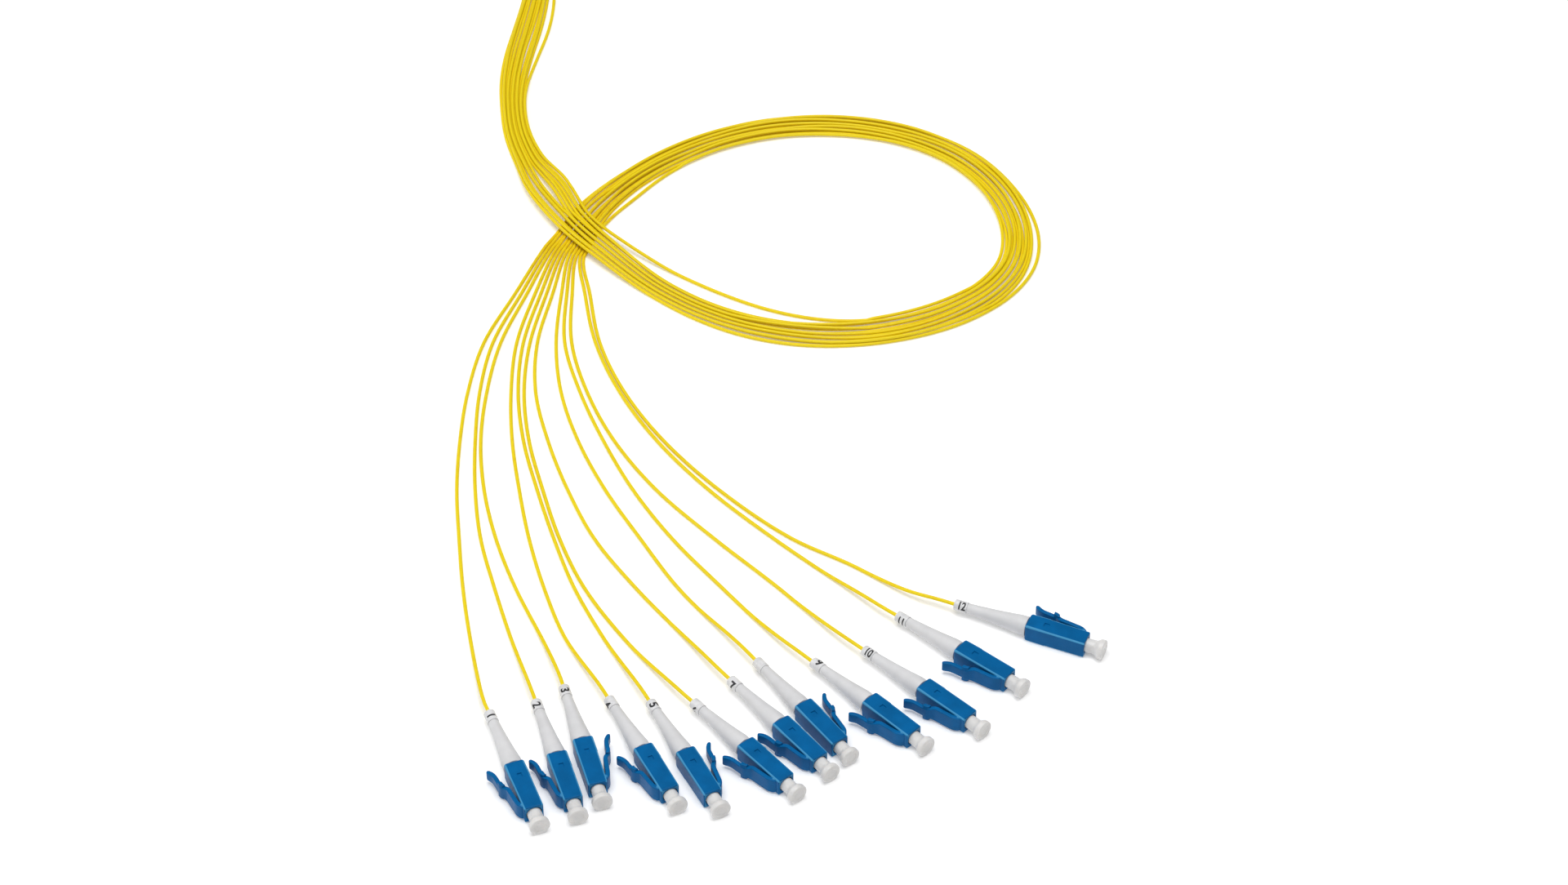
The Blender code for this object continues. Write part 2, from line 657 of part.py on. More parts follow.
def coil_objects(routes, finish, tie_finish, collection):
    half = COIL_HALF_WIDTH + FIBRE_DIAMETER / 2 + COIL_COVER
    base = TIE_THICKNESS + FACE_GAP
    top = base + coil_height(routes)
    inner = COIL_RADIUS - half
    outer = COIL_RADIUS + half
    corner = COIL_CORNER
    section = [(inner + corner, top), (outer - corner, top), (outer, top - corner),
               (outer, base + corner), (outer - corner, base), (inner + corner, base),
               (inner, base + corner), (inner, top - corner)]
    mesh = bpy.data.meshes.new("coil")
    mesh.from_pydata([(r * MM, 0.0, z * MM) for r, z in section],
                     [(i, (i + 1) % len(section)) for i in range(len(section))], [])
    coil = link_object("coil", mesh, collection, finish)
    screw = coil.modifiers.new("turn", "SCREW")
    screw.steps = COIL_STEPS
    screw.render_steps = COIL_STEPS
    screw.use_merge_vertices = True
    screw.merge_threshold = 0.01 * MM
    coil.location = (COIL_CENTRE[0] * MM, COIL_CENTRE[1] * MM, 0.0)
    made = [coil]
    gap = TIE_GAP
    for number, angle in enumerate(TIE_ANGLES, start=1):
        hole = [(inner - gap, TIE_THICKNESS), (outer + gap, TIE_THICKNESS), (outer + gap, top + gap),
                (inner - gap, top + gap)]
        x0, x1 = inner - gap - TIE_THICKNESS, outer + gap + TIE_THICKNESS
        z1 = top + gap + TIE_THICKNESS
        rim = [(x0, 0.0), (x1, 0.0), (x1, z1 - TIE_CORNER), (x1 - TIE_CORNER, z1),
               (x0 + TIE_CORNER, z1), (x0, z1 - TIE_CORNER)]
        tie = outline_solid(f"coil_tie_{number}", [rim, hole], TIE_WIDTH, collection)
        tie.data.materials.append(tie_finish)
        tie.location = (COIL_CENTRE[0] * MM, COIL_CENTRE[1] * MM, 0.0)
        tie.rotation_euler = (0.0, 0.0, math.radians(angle))
        made.append(tie)
    return made


def plug_objects(meshes, finishes, root, collection):
    pieces = []
    for index, (x, y, heading, side) in enumerate(PLUGS):
        label = f"{index + 1:02d}"
        plug = bpy.data.objects.new("plug_" + label, None)
        collection.objects.link(plug)
        plug.parent = root
        plug.location = (x * MM, y * MM, AXIS_HEIGHT * MM)
        plug.rotation_euler = (side * math.pi / 2, 0.0, math.radians(heading))
        for piece in ("housing", "boot", "cap"):
            made = link_object(f"{piece}_{label}", meshes[piece], collection, finishes[piece])
            made.parent = plug
            pieces.append(made)
    return pieces


def middle_of(pieces):
    """Middle of the box around the pieces, on the floor."""
    corners = [piece.matrix_world @ Vector(corner) for piece in pieces for corner in piece.bound_box]
    lows = [min(corner[i] for corner in corners) for i in (0, 1)]
    highs = [max(corner[i] for corner in corners) for i in (0, 1)]
    return Vector(((lows[0] + highs[0]) / 2, (lows[1] + highs[1]) / 2, 0.0))


def main():
    clear_scene()
    bundle = new_collection("fibre_pigtail_bundle")
    cutters = new_collection("cutters")
    finishes = {"housing": material("plug_blue", BLUE), "boot": material("boot_white", WHITE),
                "cap": material("cap_clear_white", CLEAR_WHITE)}
    yellow = material("fibre_yellow", YELLOW)
    root = bpy.data.objects.new("bundle_root", None)
    bundle.objects.link(root)
    meshes = {"housing": housing_mesh(cutters),
              "boot": turned_mesh("boot", boot_profile(), TURN_STEPS, cutters),
              "cap": turned_mesh("cap", cap_profile(), TURN_STEPS, cutters)}
    plugs = plug_objects(meshes, finishes, root, bundle)
    routes = [fibre_route(index, lane) for index, lane in enumerate(bundle_lanes())]
    for index, route in enumerate(routes):
        fibre_object(index, route, yellow, bundle).parent = root
    for piece in coil_objects(routes, yellow, material("tie_grey", TIE_GREY), bundle):
        piece.parent = root
    bpy.context.view_layer.update()
    root.location = -middle_of(plugs)
    bpy.context.view_layer.update()


main()
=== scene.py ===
"""Looks of a bundle of twelve fibre pigtails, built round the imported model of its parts.

Twelve blue small-form plugs lie fanned out on their sides, each with a white boot, a numbered
sleeve and a milky dust cap. Their yellow fibres gather, loop once and end in a tied coil.
"""

import math

import bmesh
import bpy
from bpy.props import FloatProperty, FloatVectorProperty, IntProperty, PointerProperty
from mathutils import Matrix, Vector


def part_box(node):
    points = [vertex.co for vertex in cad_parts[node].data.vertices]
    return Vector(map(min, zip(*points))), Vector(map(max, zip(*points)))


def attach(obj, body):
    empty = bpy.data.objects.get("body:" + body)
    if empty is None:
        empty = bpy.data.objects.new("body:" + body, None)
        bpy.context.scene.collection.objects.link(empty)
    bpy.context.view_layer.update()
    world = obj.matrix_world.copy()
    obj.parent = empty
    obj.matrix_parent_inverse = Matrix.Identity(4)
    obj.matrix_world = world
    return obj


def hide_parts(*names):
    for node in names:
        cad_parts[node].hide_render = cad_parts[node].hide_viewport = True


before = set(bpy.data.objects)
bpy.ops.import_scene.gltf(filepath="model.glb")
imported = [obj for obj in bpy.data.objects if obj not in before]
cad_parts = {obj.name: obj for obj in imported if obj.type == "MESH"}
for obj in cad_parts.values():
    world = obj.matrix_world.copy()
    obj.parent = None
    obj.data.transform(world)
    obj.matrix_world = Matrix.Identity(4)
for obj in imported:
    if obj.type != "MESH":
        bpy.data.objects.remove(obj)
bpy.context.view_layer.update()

bl_info = {
    "name": "Fibre Pigtail Bundle",
    "version": (1, 0, 0),
    "blender": (4, 5, 0),
    "location": "View3D > Sidebar > Pigtails",
    "description": "Builds a fanned-out bundle of twelve capped fibre pigtails",
    "category": "Add Mesh",
}

MM = 0.001
BODY = "pigtails"
GAP = 0.3 * MM

# Places of the plugs: rear face of the housing (x, y) in millimetres, heading in degrees, and the
# side of the latch seen along the heading, 1 for the right hand and -1 for the left
PLUGS = [
    (-61.0, -112.5, -69.0, 1),
    (-51.5, -109.4, -72.5, 1),
    (-45.8, -104.9, -74.0, -1),
    (-32.1, -107.4, -63.5, 1),
    (-22.5, -108.5, -63.5, -1),
    (-9.0, -106.1, -50.0, 1),
    (-1.0, -99.3, -52.0, 1),
    (4.2, -93.8, -55.0, -1),
    (19.4, -92.3, -46.5, 1),
    (31.9, -87.8, -44.0, 1),
    (40.8, -75.5, -40.0, 1),
    (57.2, -67.3, -24.0, -1),
]
PLUG_COUNT = len(PLUGS)

# Turn of each printed number about its boot, in degrees from facing the camera. Plug 8's number
# is on the far side.
NUMBER_ROLLS = [9, -4, 5, -55, 17, -70, -40, 180, 35, 0, -45, -5]

# Fan: the places in millimetres that each fibre passes on the floor between its boot and the
# bundle. A row has the places (x, y) of its own, then its x on the last of the shared lines of y.
FAN_LINES = [-68.7, -52.2, -35.3, -17.9, 0.1, 18.6, 37.7, 57.3]
FANS = [
    ([], [-73.8, -76.5, -78.5, -80.2, -80.6, -79.8, -76.9, -70.0]),
    ([], [-64.3, -69.0, -73.3, -75.7, -76.8, -76.8, -74.6, -68.4]),
    ([], [-57.2, -64.0, -69.6, -73.5, -75.4, -75.0, -72.6, -66.9]),
    ([], [-51.6, -57.2, -61.6, -64.9, -67.6, -68.9, -68.5, -64.8]),
    ([], [-42.6, -50.0, -55.6, -60.5, -64.8, -67.1, -66.8, -63.3]),
    ([], [-38.0, -47.6, -54.2, -59.1, -63.4, -65.6, -65.1, -61.8]),
    ([], [-23.6, -35.4, -45.8, -53.0, -58.7, -62.7, -63.2, -60.2]),
    ([], [-13.4, -25.3, -34.7, -43.8, -51.2, -56.3, -58.4, -57.9]),
    ([(-1.0, -70.4)], [-14.8, -27.0, -37.0, -44.9, -51.5, -56.2, -56.5]),
    ([(12.0, -68.2)], [-1.4, -16.8, -31.3, -42.2, -49.7, -54.4, -55.1]),
    ([], [14.8, -2.4, -18.4, -31.6, -41.5, -48.3, -51.8]),
    ([(30.0, -54.9), (16.4, -44.6), (1.6, -35.0)], [-15.9, -29.9, -40.3, -47.2, -50.5]),
]

# Bundle: the middle of the twelve fibres (x, y), and half its width between the outer fibres, in
# millimetres. It runs from the fan round the loop, over itself, and on to the coil.
BUNDLE = [
    (-57.8, 74.8, 5.6), (-55.0, 81.0, 5.2), (-51.2, 90.0, 4.8), (-46.7, 97.5, 4.5),
    (-39.5, 106.5, 4.2), (-30.5, 114.8, 4.2), (-18.5, 122.6, 4.0), (-4.5, 127.8, 4.0),
    (9.0, 129.3, 4.0), (23.0, 127.8, 4.0), (36.0, 123.2, 4.1), (47.0, 115.6, 4.2),
    (55.2, 105.2, 4.2), (60.4, 93.0, 4.2), (62.2, 80.5, 4.2), (60.4, 69.0, 4.3),
    (54.6, 59.0, 4.5), (45.3, 50.8, 4.6), (33.5, 44.8, 4.7), (20.0, 41.5, 4.8),
    (6.0, 41.4, 4.7), (-8.4, 44.6, 4.3), (-21.0, 50.6, 3.9), (-32.6, 59.4, 3.7),
    (-41.8, 68.2, 3.8), (-48.8, 76.2, 4.0), (-54.9, 84.4, 4.3), (-60.2, 93.4, 4.6),
    (-65.0, 103.0, 4.6), (-69.4, 114.0, 3.8), (-73.0, 125.8, 3.3), (-74.7, 137.7, 3.2),
    (-75.0, 149.8, 3.7), (-74.1, 162.2, 4.2), (-72.6, 174.0, 4.2), (-71.2, 186.0, 3.8),
    (-70.3, 198.0, 3.3), (-70.0, 210.0, 3.1), (-70.0, 221.0, 3.1), (-70.0, 230.0, 3.1),
]

# Where the bundle passes over itself, in millimetres, and the hump of its upper pass there
CROSSING = (-54.9, 84.4)
HUMP_HEIGHT = 1.7 * MM
HUMP_FLAT = 12.0 * MM
HUMP_RAMP = 26.0 * MM

# Fibres that stray from the bundle: first and last fibre, how far along the bundle the stray is
# widest, half its length, and its sideways shift to the outside of the loop, in millimetres
STRAYS = [
    (12, 12, 30.0, 22.0, -1.3),
    (1, 1, 175.0, 30.0, 1.3),
    (12, 12, 280.0, 52.0, -4.4),
    (7, 12, 344.0, 16.0, -1.1),
    (1, 6, 344.0, 16.0, 0.4),
    (12, 12, 425.0, 38.0, -1.6),
]

# Least distance between neighbours in one layer, and the fibres' wander within the bundle: its
# share of the free width, the way over which it starts, and waves that differ between fibres
SIDE_PITCH = 0.99 * MM
WANDER_SHARE = 0.8
WANDER_FADE = 22.0 * MM
WANDER_WAVE = 62.0 * MM
WANDER_STEP = 11.0 * MM
WANDER_TURN = 2.4
WANDER_STRIDE = 5
WANDER_KINDS = 7

# Way of a fibre out of its boot and down to the floor
AXIS_HEIGHT = 2.4 * MM
FLOOR_CLEARANCE = 0.03 * MM
STUB_LENGTH = 4.0 * MM
DROP_START = 2.0 * MM
DROP_LENGTH = 24.0 * MM
BOOT_ENTRY = 2.0 * MM

# Coil past the far end of the loop
COIL_CENTRE = (-40.0, 230.0)
COIL_RADIUS = 30.0 * MM
COIL_HALF_WIDTH = 3.1 * MM
COIL_COVER = 0.1 * MM
COIL_PITCH = 2.0 * MM
COIL_LIFT_START = 24.0 * MM
COIL_LIFT_LENGTH = 22.0 * MM
COIL_STEP = math.radians(4)
TIE_ANGLES = (75.0, -45.0)

# Small edges of the housing and the lever
REAR_CORNER = 0.55 * MM
GRIP_CORNER = 0.44 * MM
FRONT_CORNER = 0.4 * MM
GRIP_STEP = 0.07 * MM
STEP_LENGTH = 0.3 * MM
EDGE_BEVEL = 0.07 * MM
LEVER_CORNER = 0.25 * MM
SHOULDER_CORNER = 0.2 * MM
LEVER_SHARE = 0.4
BEVEL_ANGLE = math.radians(38)
CREASE_ANGLE = math.radians(50)
CUT_PAST = 1.0 * MM

# Part of a corner's radius over which a long edge of the housing gets its painted highlight
HIGHLIGHT_START = 0.15
HIGHLIGHT_REACH = 1.05

# Flange and tip of the ferrule
FLANGE_LENGTH = 0.7 * MM
FLANGE_STEP = 0.4 * MM
FLANGE_CONE = 0.3 * MM
TIP_CONE = 0.35 * MM
TIP_DOME = 0.04 * MM
TIP_INSET = 0.12 * MM

# Boot: its waisted cone, its collar, its tail under the sleeve, and its bore
CONE_STEPS = 10
CONE_HOLLOW = 0.38
CONE_POWER = 2.2
CONE_START = 0.1 * MM
COLLAR_LENGTH = 1.8 * MM
TAIL_INSET = 0.2 * MM
BORE_PLAY = 0.06 * MM
BORE_PAST = 1.0 * MM
FACE_GAP = 0.02 * MM

# Sleeve and its printed numbers
SLEEVE_SETBACK = 0.12 * MM
SLEEVE_SEAM = 0.01 * MM
DIGIT_THICKNESS = 0.03 * MM
DIGIT_BOLDNESS = 0.095 * MM
DIGIT_REACH = 1.3 * MM
DIGIT_CUTS = 8
DIGIT_NARROWING = 0.72

# End of the cap
CAP_BORE_END = 2.5 * MM
DIMPLE_RADIUS = 1.45 * MM
DIMPLE_SLOPE = 0.2 * MM
DIMPLE_DEPTH = 0.12 * MM

# Straps
STRAP_START = 1.4 * MM
STRAP_LAP = 2.2 * MM
STRAP_BEND = 1.1 * MM
STRAP_LIFT = 1.1
STRAP_CORNER = 0.3
STRAP_POINTS = 150
STRAP_TIP_REST = 0.02 * MM
STRAP_TIP_SHARE = 0.01

# Distance within which points of a mesh are one
WELD_DISTANCE = 0.001 * MM
FINE_WELD = 0.0001 * MM

# Sides of the turned pieces
BORE_SIDES = 32
FERRULE_SIDES = 32
BOOT_SIDES = 40
CAP_SIDES = 48

# Shares of the fibre's colour where it is deepest and palest
FIBRE_DEEP = (0.96, 0.86, 0.6)
FIBRE_PALE = (1.05, 1.1, 2.4)

# Middle of a noise's values, which a finish spreads over its own range
NOISE_LOW = 0.3
NOISE_HIGH = 0.7

# Points along a fibre. Those of the bundle before FIRST_PASS pass the crossing for the first time.
# A fan's end is steered by every JOIN_STRIDE-th of the bundle's first JOIN_REACH points.
FAN_POINTS = 64
BUNDLE_POINTS = 250
FIRST_PASS = 83
CURVE_SAMPLES = 12
JOIN_REACH = 20
JOIN_STRIDE = 6

# Directions across and up a plug, a strap or the floor
ACROSS = Vector((0.0, 1.0, 0.0))
UP = Vector((0.0, 0.0, 1.0))

# Stage: half the floor and its place under the object, the camera, and the lights' places, sizes
# and spreads
FLOOR_HALF = 3.0
FLOOR_DROP = 0.02 * MM
SENSOR_WIDTH = 36.0
CLIP = (0.01, 20.0)
VIEW_FROM = Vector((0.0, -0.69, 0.72))
KEY_PLACE = Vector((0.0, -0.12, 1.25))
KEY_SIZE = (1.0, 1.0)
KEY_SPREAD = math.radians(180)
EDGE_PLACE = Vector((-0.95, 0.0, 0.52))
EDGE_SIZE = (0.15, 0.9)
EDGE_SPREAD = math.radians(70)


def coil_middle():
    """Middle of the coil in the frame."""
    low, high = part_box("coil")
    return (low + high) / 2


# Step from the route's own centre to the frame's
SHIFT = Vector((coil_middle().x - COIL_CENTRE[0] * MM, coil_middle().y - COIL_CENTRE[1] * MM, 0.0))


def length_prop(label, description, default):
    """A size in metres, shown in the scene's own unit."""
    return FloatProperty(name=label, description=description, default=default, min=0.0,
                         unit="LENGTH", precision=5)


def number_prop(label, description, default):
    """A plain number."""
    return FloatProperty(name=label, description=description, default=default)


def colour_prop(label, description, default):
    """A colour without its alpha."""
    return FloatVectorProperty(name=label, description=description, default=default, size=3,
                               subtype="COLOR", min=0.0, max=1.0)


class FibreSettings(bpy.types.PropertyGroup):
    diameter: length_prop("Diameter", "Outer diameter of the tight buffer", 0.9 * MM)
    length: length_prop("Length", "Length of each fibre from the tail of its boot", 1.0)
    sides: IntProperty(name="Sides", description="Sides of the round section", default=12, min=6)
    colour: colour_prop("Colour", "Yellow of the tight buffer", (0.83, 0.61, 0.003))


class HousingSettings(bpy.types.PropertyGroup):
    length: length_prop("Length", "Length of the housing without its ferrule", 14.8 * MM)
    rear_width: length_prop("Rear width", "Width across the sides at the rear", 4.8 * MM)
    rear_height: length_prop("Rear height", "Height on the latch side at the rear", 4.8 * MM)
    front_side: length_prop("Front side", "Side of the square front", 4.5 * MM)
    rear_straight: length_prop("Rear straight", "Length of the straight grip", 5.2 * MM)
    rear_round: length_prop("Rear round", "Radius of the rear edges", 0.6 * MM)
    front_round: length_prop("Front round", "Radius of the front edges", 0.25 * MM)
    socket_depth: length_prop("Socket depth", "From the front to the socket's floor", 4.0 * MM)
    socket_diameter: length_prop("Socket diameter", "Bore of the front socket", 3.7 * MM)
    seat_depth: length_prop("Seat depth", "Depth of the bore that takes the boot", 2.0 * MM)
    seat_diameter: length_prop("Seat diameter", "Bore that takes the boot", 4.0 * MM)
    window_place: length_prop("Window place", "From the rear to the window's middle", 4.7 * MM)
    window_length: length_prop("Window length", "Length of the side window", 1.3 * MM)
    window_height: length_prop("Window height", "Height of the side window", 1.1 * MM)
    window_depth: length_prop("Window depth", "Depth of the side window", 0.25 * MM)
    colour: colour_prop("Colour", "Blue of the moulding", (0.0003, 0.112, 0.315))
    # Lighter blue painted along the housing's long edges as a highlight
    edge_colour: colour_prop("Edge colour", "Lighter blue of the edges", (0.065, 0.31, 0.56))


class LatchSettings(bpy.types.PropertyGroup):
    thickness: length_prop("Thickness", "Thickness of the lever", 1.05 * MM)
    front_width: length_prop("Front width", "Width of the lever up to its step", 4.0 * MM)
    arm_width: length_prop("Arm width", "Width of the free arm", 2.6 * MM)
    shoulder_width: length_prop("Shoulder width", "Width across the two stops", 4.4 * MM)
    setback: length_prop("Setback", "From the housing's front to the lever's root", 1.0 * MM)


class FerruleSettings(bpy.types.PropertyGroup):
    diameter: length_prop("Diameter", "Diameter of the ferrule", 1.25 * MM)
    reach: length_prop("Reach", "From the housing's front to the ferrule's tip", 2.0 * MM)
    flange_diameter: length_prop("Flange", "Diameter of the flange at its foot", 2.5 * MM)
    colour: colour_prop("Colour", "White of the ceramic", (0.78, 0.77, 0.74))


class BootSettings(bpy.types.PropertyGroup):
    length: length_prop("Length", "From the housing to the tail", 18.4 * MM)
    front_diameter: length_prop("Front diameter", "Diameter of the front collar", 4.7 * MM)
    waist_diameter: length_prop("Waist diameter", "Diameter at the sleeve", 2.45 * MM)
    spigot_diameter: length_prop("Spigot diameter", "Diameter of the end in the housing", 3.4 * MM)
    spigot_length: length_prop("Spigot length", "Length of the end in the housing", 1.6 * MM)
    colour: colour_prop("Colour", "White of the boot", (0.68, 0.68, 0.69))


class SleeveSettings(bpy.types.PropertyGroup):
    diameter: length_prop("Diameter", "Outer diameter of the sleeve", 2.7 * MM)
    length: length_prop("Length", "Length of the numbered sleeve", 3.3 * MM)
    wall: length_prop("Wall", "Wall of the sleeve", 0.17 * MM)
    digit_size: length_prop("Digit size", "Size of the printed numbers", 2.9 * MM)
    digit_place: length_prop("Digit place", "From the tail to the middle of the number", 2.0 * MM)
    ink: colour_prop("Ink", "Black of the printed numbers", (0.012, 0.012, 0.014))


class CapSettings(bpy.types.PropertyGroup):
    neck_diameter: length_prop("Neck diameter", "Diameter of the neck in the socket", 3.3 * MM)
    knob_diameter: length_prop("Knob diameter", "Diameter of the grip", 4.75 * MM)
    bore: length_prop("Bore", "Bore that slides over the ferrule", 1.85 * MM)
    insertion: length_prop("Insertion", "How far the neck reaches into the socket", 2.0 * MM)
    protrusion: length_prop("Protrusion", "From the housing's front to the cap's end", 4.4 * MM)
    knob_length: length_prop("Knob length", "Length of the grip", 1.2 * MM)
    flare: length_prop("Flare", "Length of the flare between neck and grip", 0.9 * MM)
    colour: colour_prop("Colour", "Milky white of the cap", (0.72, 0.71, 0.70))


class TieSettings(bpy.types.PropertyGroup):
    width: length_prop("Width", "Width of the strap", 6.0 * MM)
    thickness: length_prop("Thickness", "Thickness of the strap", 0.45 * MM)
    play: length_prop("Play", "From the coil to the middle of the strap", 0.33 * MM)
    rise: length_prop("Rise", "How high the ties hold the coil above the floor", 0.6 * MM)
    colour: colour_prop("Colour", "Grey of the strap", (0.45, 0.45, 0.44))


class StageSettings(bpy.types.PropertyGroup):
    lens: number_prop("Lens", "Focal length in millimetres", 85.0)
    distance: length_prop("Distance", "From the camera to the floor it looks at", 0.921)
    elevation: FloatProperty(name="Elevation", description="Camera's angle above the floor",
                             default=math.radians(42), subtype="ANGLE")
    floor: colour_prop("Floor", "Pale floor", (0.90, 0.90, 0.90))
    floor_glow: number_prop("Floor glow", "Light that the floor adds", 0.2)
    ambient: number_prop("Ambient", "Strength of the studio's light", 0.22)
    key: number_prop("Key light", "Power of the light from above in watts", 14.0)
    edge: number_prop("Edge light", "Power of the light from the left in watts", 0.38)


def settings(kind):
    """The scene's settings of one kind, as GROUPS names them."""
    return getattr(bpy.context.scene, "pigtail_" + kind)


def between(a, b, knot_a, knot_b, t):
    """Point between two others, in proportion to where t lies between their knots."""
    return (a * (knot_b - t) + b * (t - knot_a)) / (knot_b - knot_a)


def curve_through(points, samples):
    """Dense centripetal Catmull-Rom curve through a list of vectors."""
    ends = [points[0] * 2 - points[1]] + list(points) + [points[-1] * 2 - points[-2]]
    dense = []
    for i in range(len(points) - 1):
        p0, p1, p2, p3 = ends[i:i + 4]
        t0 = 0.0
        t1 = t0 + (p1 - p0).length ** 0.5
        t2 = t1 + (p2 - p1).length ** 0.5
        t3 = t2 + (p3 - p2).length ** 0.5
        for k in range(samples):
            t = t1 + (t2 - t1) * k / samples
            a1 = between(p0, p1, t0, t1, t)
            a2 = between(p1, p2, t1, t2, t)
            a3 = between(p2, p3, t2, t3, t)
            b1 = between(a1, a2, t0, t2, t)
            b2 = between(a2, a3, t1, t3, t)
            dense.append(between(b1, b2, t1, t2, t))
    dense.append(points[-1])
    return dense


def floor_lengths(points):
    """How far along the floor each point of a route lies."""
    lengths = [0.0]
    for a, b in zip(points, points[1:]):
        lengths.append(lengths[-1] + (b.to_2d() - a.to_2d()).length)
    return lengths


def evenly_spaced(points, count):
    """The same curve with a given number of points at equal distances along the floor."""
    lengths = floor_lengths(points)
    spaced = []
    j = 0
    for k in range(count):
        want = lengths[-1] * k / (count - 1)
        while j < len(points) - 2 and lengths[j + 1] < want:
            j += 1
        share = (want - lengths[j]) / (lengths[j + 1] - lengths[j])
        spaced.append(points[j].lerp(points[j + 1], min(max(share, 0.0), 1.0)))
    return spaced


def ease(x):
    """Smooth step from 0 to 1."""
    x = min(max(x, 0.0), 1.0)
    return x * x * (3.0 - 2.0 * x)


def bulge(distance, half_length):
    """Smooth bump that is 1 in its middle and 0 past half its length."""
    return ease(1.0 - abs(distance) / half_length)


def bundle_stations():
    """Place, direction to the left, half width, distance and base height along the bundle."""
    route = [Vector(point) * MM for point in BUNDLE]
    middle = evenly_spaced(curve_through(route, CURVE_SAMPLES), BUNDLE_POINTS)
    distances = floor_lengths(middle)
    crossing = Vector(CROSSING) * MM
    later = range(FIRST_PASS, BUNDLE_POINTS)
    over = distances[min(later, key=lambda k: (middle[k].to_2d() - crossing).length)]
    lift = settings("tie").rise + GAP
    stations = []
    for k, point in enumerate(middle):
        ahead = middle[min(k + 1, BUNDLE_POINTS - 1)] - middle[max(k - 1, 0)]
        left = Vector((-ahead.y, ahead.x)).normalized()
        hump = ease((HUMP_FLAT + HUMP_RAMP - abs(distances[k] - over)) / HUMP_RAMP)
        to_coil = distances[-1] - distances[k]
        coil_rise = ease((COIL_LIFT_LENGTH + COIL_LIFT_START - to_coil) / COIL_LIFT_LENGTH)
        base = HUMP_HEIGHT * hump + lift * coil_rise
        stations.append((point.to_2d(), left, point.z, distances[k], base))
    return stations


def side_places(half_width, distance):
    """Sideways place of each fibre in the bundle, with its wander and strays, from the left."""
    pitch = 2 * half_width / (PLUG_COUNT - 1)
    slack = max(pitch - SIDE_PITCH / 2, 0.0) * WANDER_SHARE * ease(distance / WANDER_FADE)
    places = []
    for i in range(PLUG_COUNT):
        wave = WANDER_WAVE + WANDER_STEP * (WANDER_STRIDE * i % WANDER_KINDS)
        phase = 2 * math.pi * distance / wave + WANDER_TURN * i
        side = half_width - pitch * i + slack * math.sin(phase)
        for first, last, centre, half_length, shift in STRAYS:
            if first <= i + 1 <= last:
                side += shift * MM * bulge(distance - centre * MM, half_length * MM)
        places.append(side)
    return places


def layer_heights(places):
    """Every second fibre rests on its neighbours where they leave it no room on the floor."""
    heights = [0.0] * len(places)
    for i in range(1, len(places), 2):
        gaps = [abs(places[i] - places[j]) for j in (i - 1, i + 1) if j < len(places)]
        heights[i] = max(math.sqrt(max(SIDE_PITCH ** 2 - gap ** 2, 0.0)) for gap in gaps)
    return heights


def bundle_lanes(floor_line):
    """Places of the twelve fibres at every station of the bundle."""
    lanes = [[] for _ in PLUGS]
    for point, left, half_width, distance, base in bundle_stations():
        places = side_places(half_width, distance)
        for lane, side, height in zip(lanes, places, layer_heights(places)):
            flat = point + left * side
            lane.append(Vector((flat.x, flat.y, floor_line + base + height)))
    return lanes


def heading_vector(heading):
    """Direction on the floor of a heading in degrees."""
    return Vector((math.cos(math.radians(heading)), math.sin(math.radians(heading))))


def fan_route(index, lane, floor_line):
    """One fibre from inside its boot to the start of the bundle."""
    x, y, heading, _ = PLUGS[index]
    ahead = heading_vector(heading)
    tail = Vector((x, y)) * MM - ahead * (settings("boot").length + GAP)
    own, across = FANS[index]
    passed = own + list(zip(across, FAN_LINES[-len(across):]))
    flat = [tail, tail - ahead * STUB_LENGTH] + [Vector(point) * MM for point in passed]
    places = [point.to_3d() for point in flat]
    places += [Vector((point.x, point.y, 0.0)) for point in lane[:JOIN_REACH:JOIN_STRIDE]]
    dense = curve_through(places, CURVE_SAMPLES)[:len(flat) * CURVE_SAMPLES + 1]
    points = evenly_spaced(dense, FAN_POINTS)
    route = [(tail + ahead * BOOT_ENTRY).to_3d() + UP * AXIS_HEIGHT]
    drop = AXIS_HEIGHT - floor_line
    for point, run in zip(points, floor_lengths(points)):
        height = floor_line + drop * (1.0 - ease((run - DROP_START) / DROP_LENGTH))
        route.append(Vector((point.x, point.y, height)))
    return route


def route_length(route):
    """Whole length of a route."""
    return sum((b - a).length for a, b in zip(route, route[1:]))


def coil_turns(start, length):
    """Turns of one fibre round the coil, from the place where it joins, climbing turn by turn."""
    centre = Vector(COIL_CENTRE) * MM
    arm = start.to_2d() - centre
    radius = arm.length
    angle = math.atan2(arm.y, arm.x)
    rise = COIL_PITCH / (2 * math.pi)
    total = length / math.hypot(radius, rise)
    steps = math.ceil(total / COIL_STEP)
    turns = []
    for k in range(1, steps + 1):
        turned = total * k / steps
        place = centre + Vector((math.cos(angle - turned), math.sin(angle - turned))) * radius
        turns.append(Vector((place.x, place.y, start.z + rise * turned)))
    return turns


def fibre_routes():
    """The twelve whole routes in the frame, each as long as its fibre."""
    fibre = settings("fibre")
    floor_line = fibre.diameter / 2 + FLOOR_CLEARANCE
    routes = []
    for index, lane in enumerate(bundle_lanes(floor_line)):
        route = fan_route(index, lane, floor_line)[:-1] + lane
        route += coil_turns(route[-1], fibre.length - route_length(route))
        routes.append([point + SHIFT for point in route])
    return routes


def add_node(tree, kind, **values):
    """A node with some of its attributes set."""
    made = tree.nodes.new(kind)
    for name, value in values.items():
        setattr(made, name, value)
    return made


def set_inputs(node, values):
    """Sets a node's own sockets, given by their names."""
    for name, value in values.items():
        node.inputs[name].default_value = value


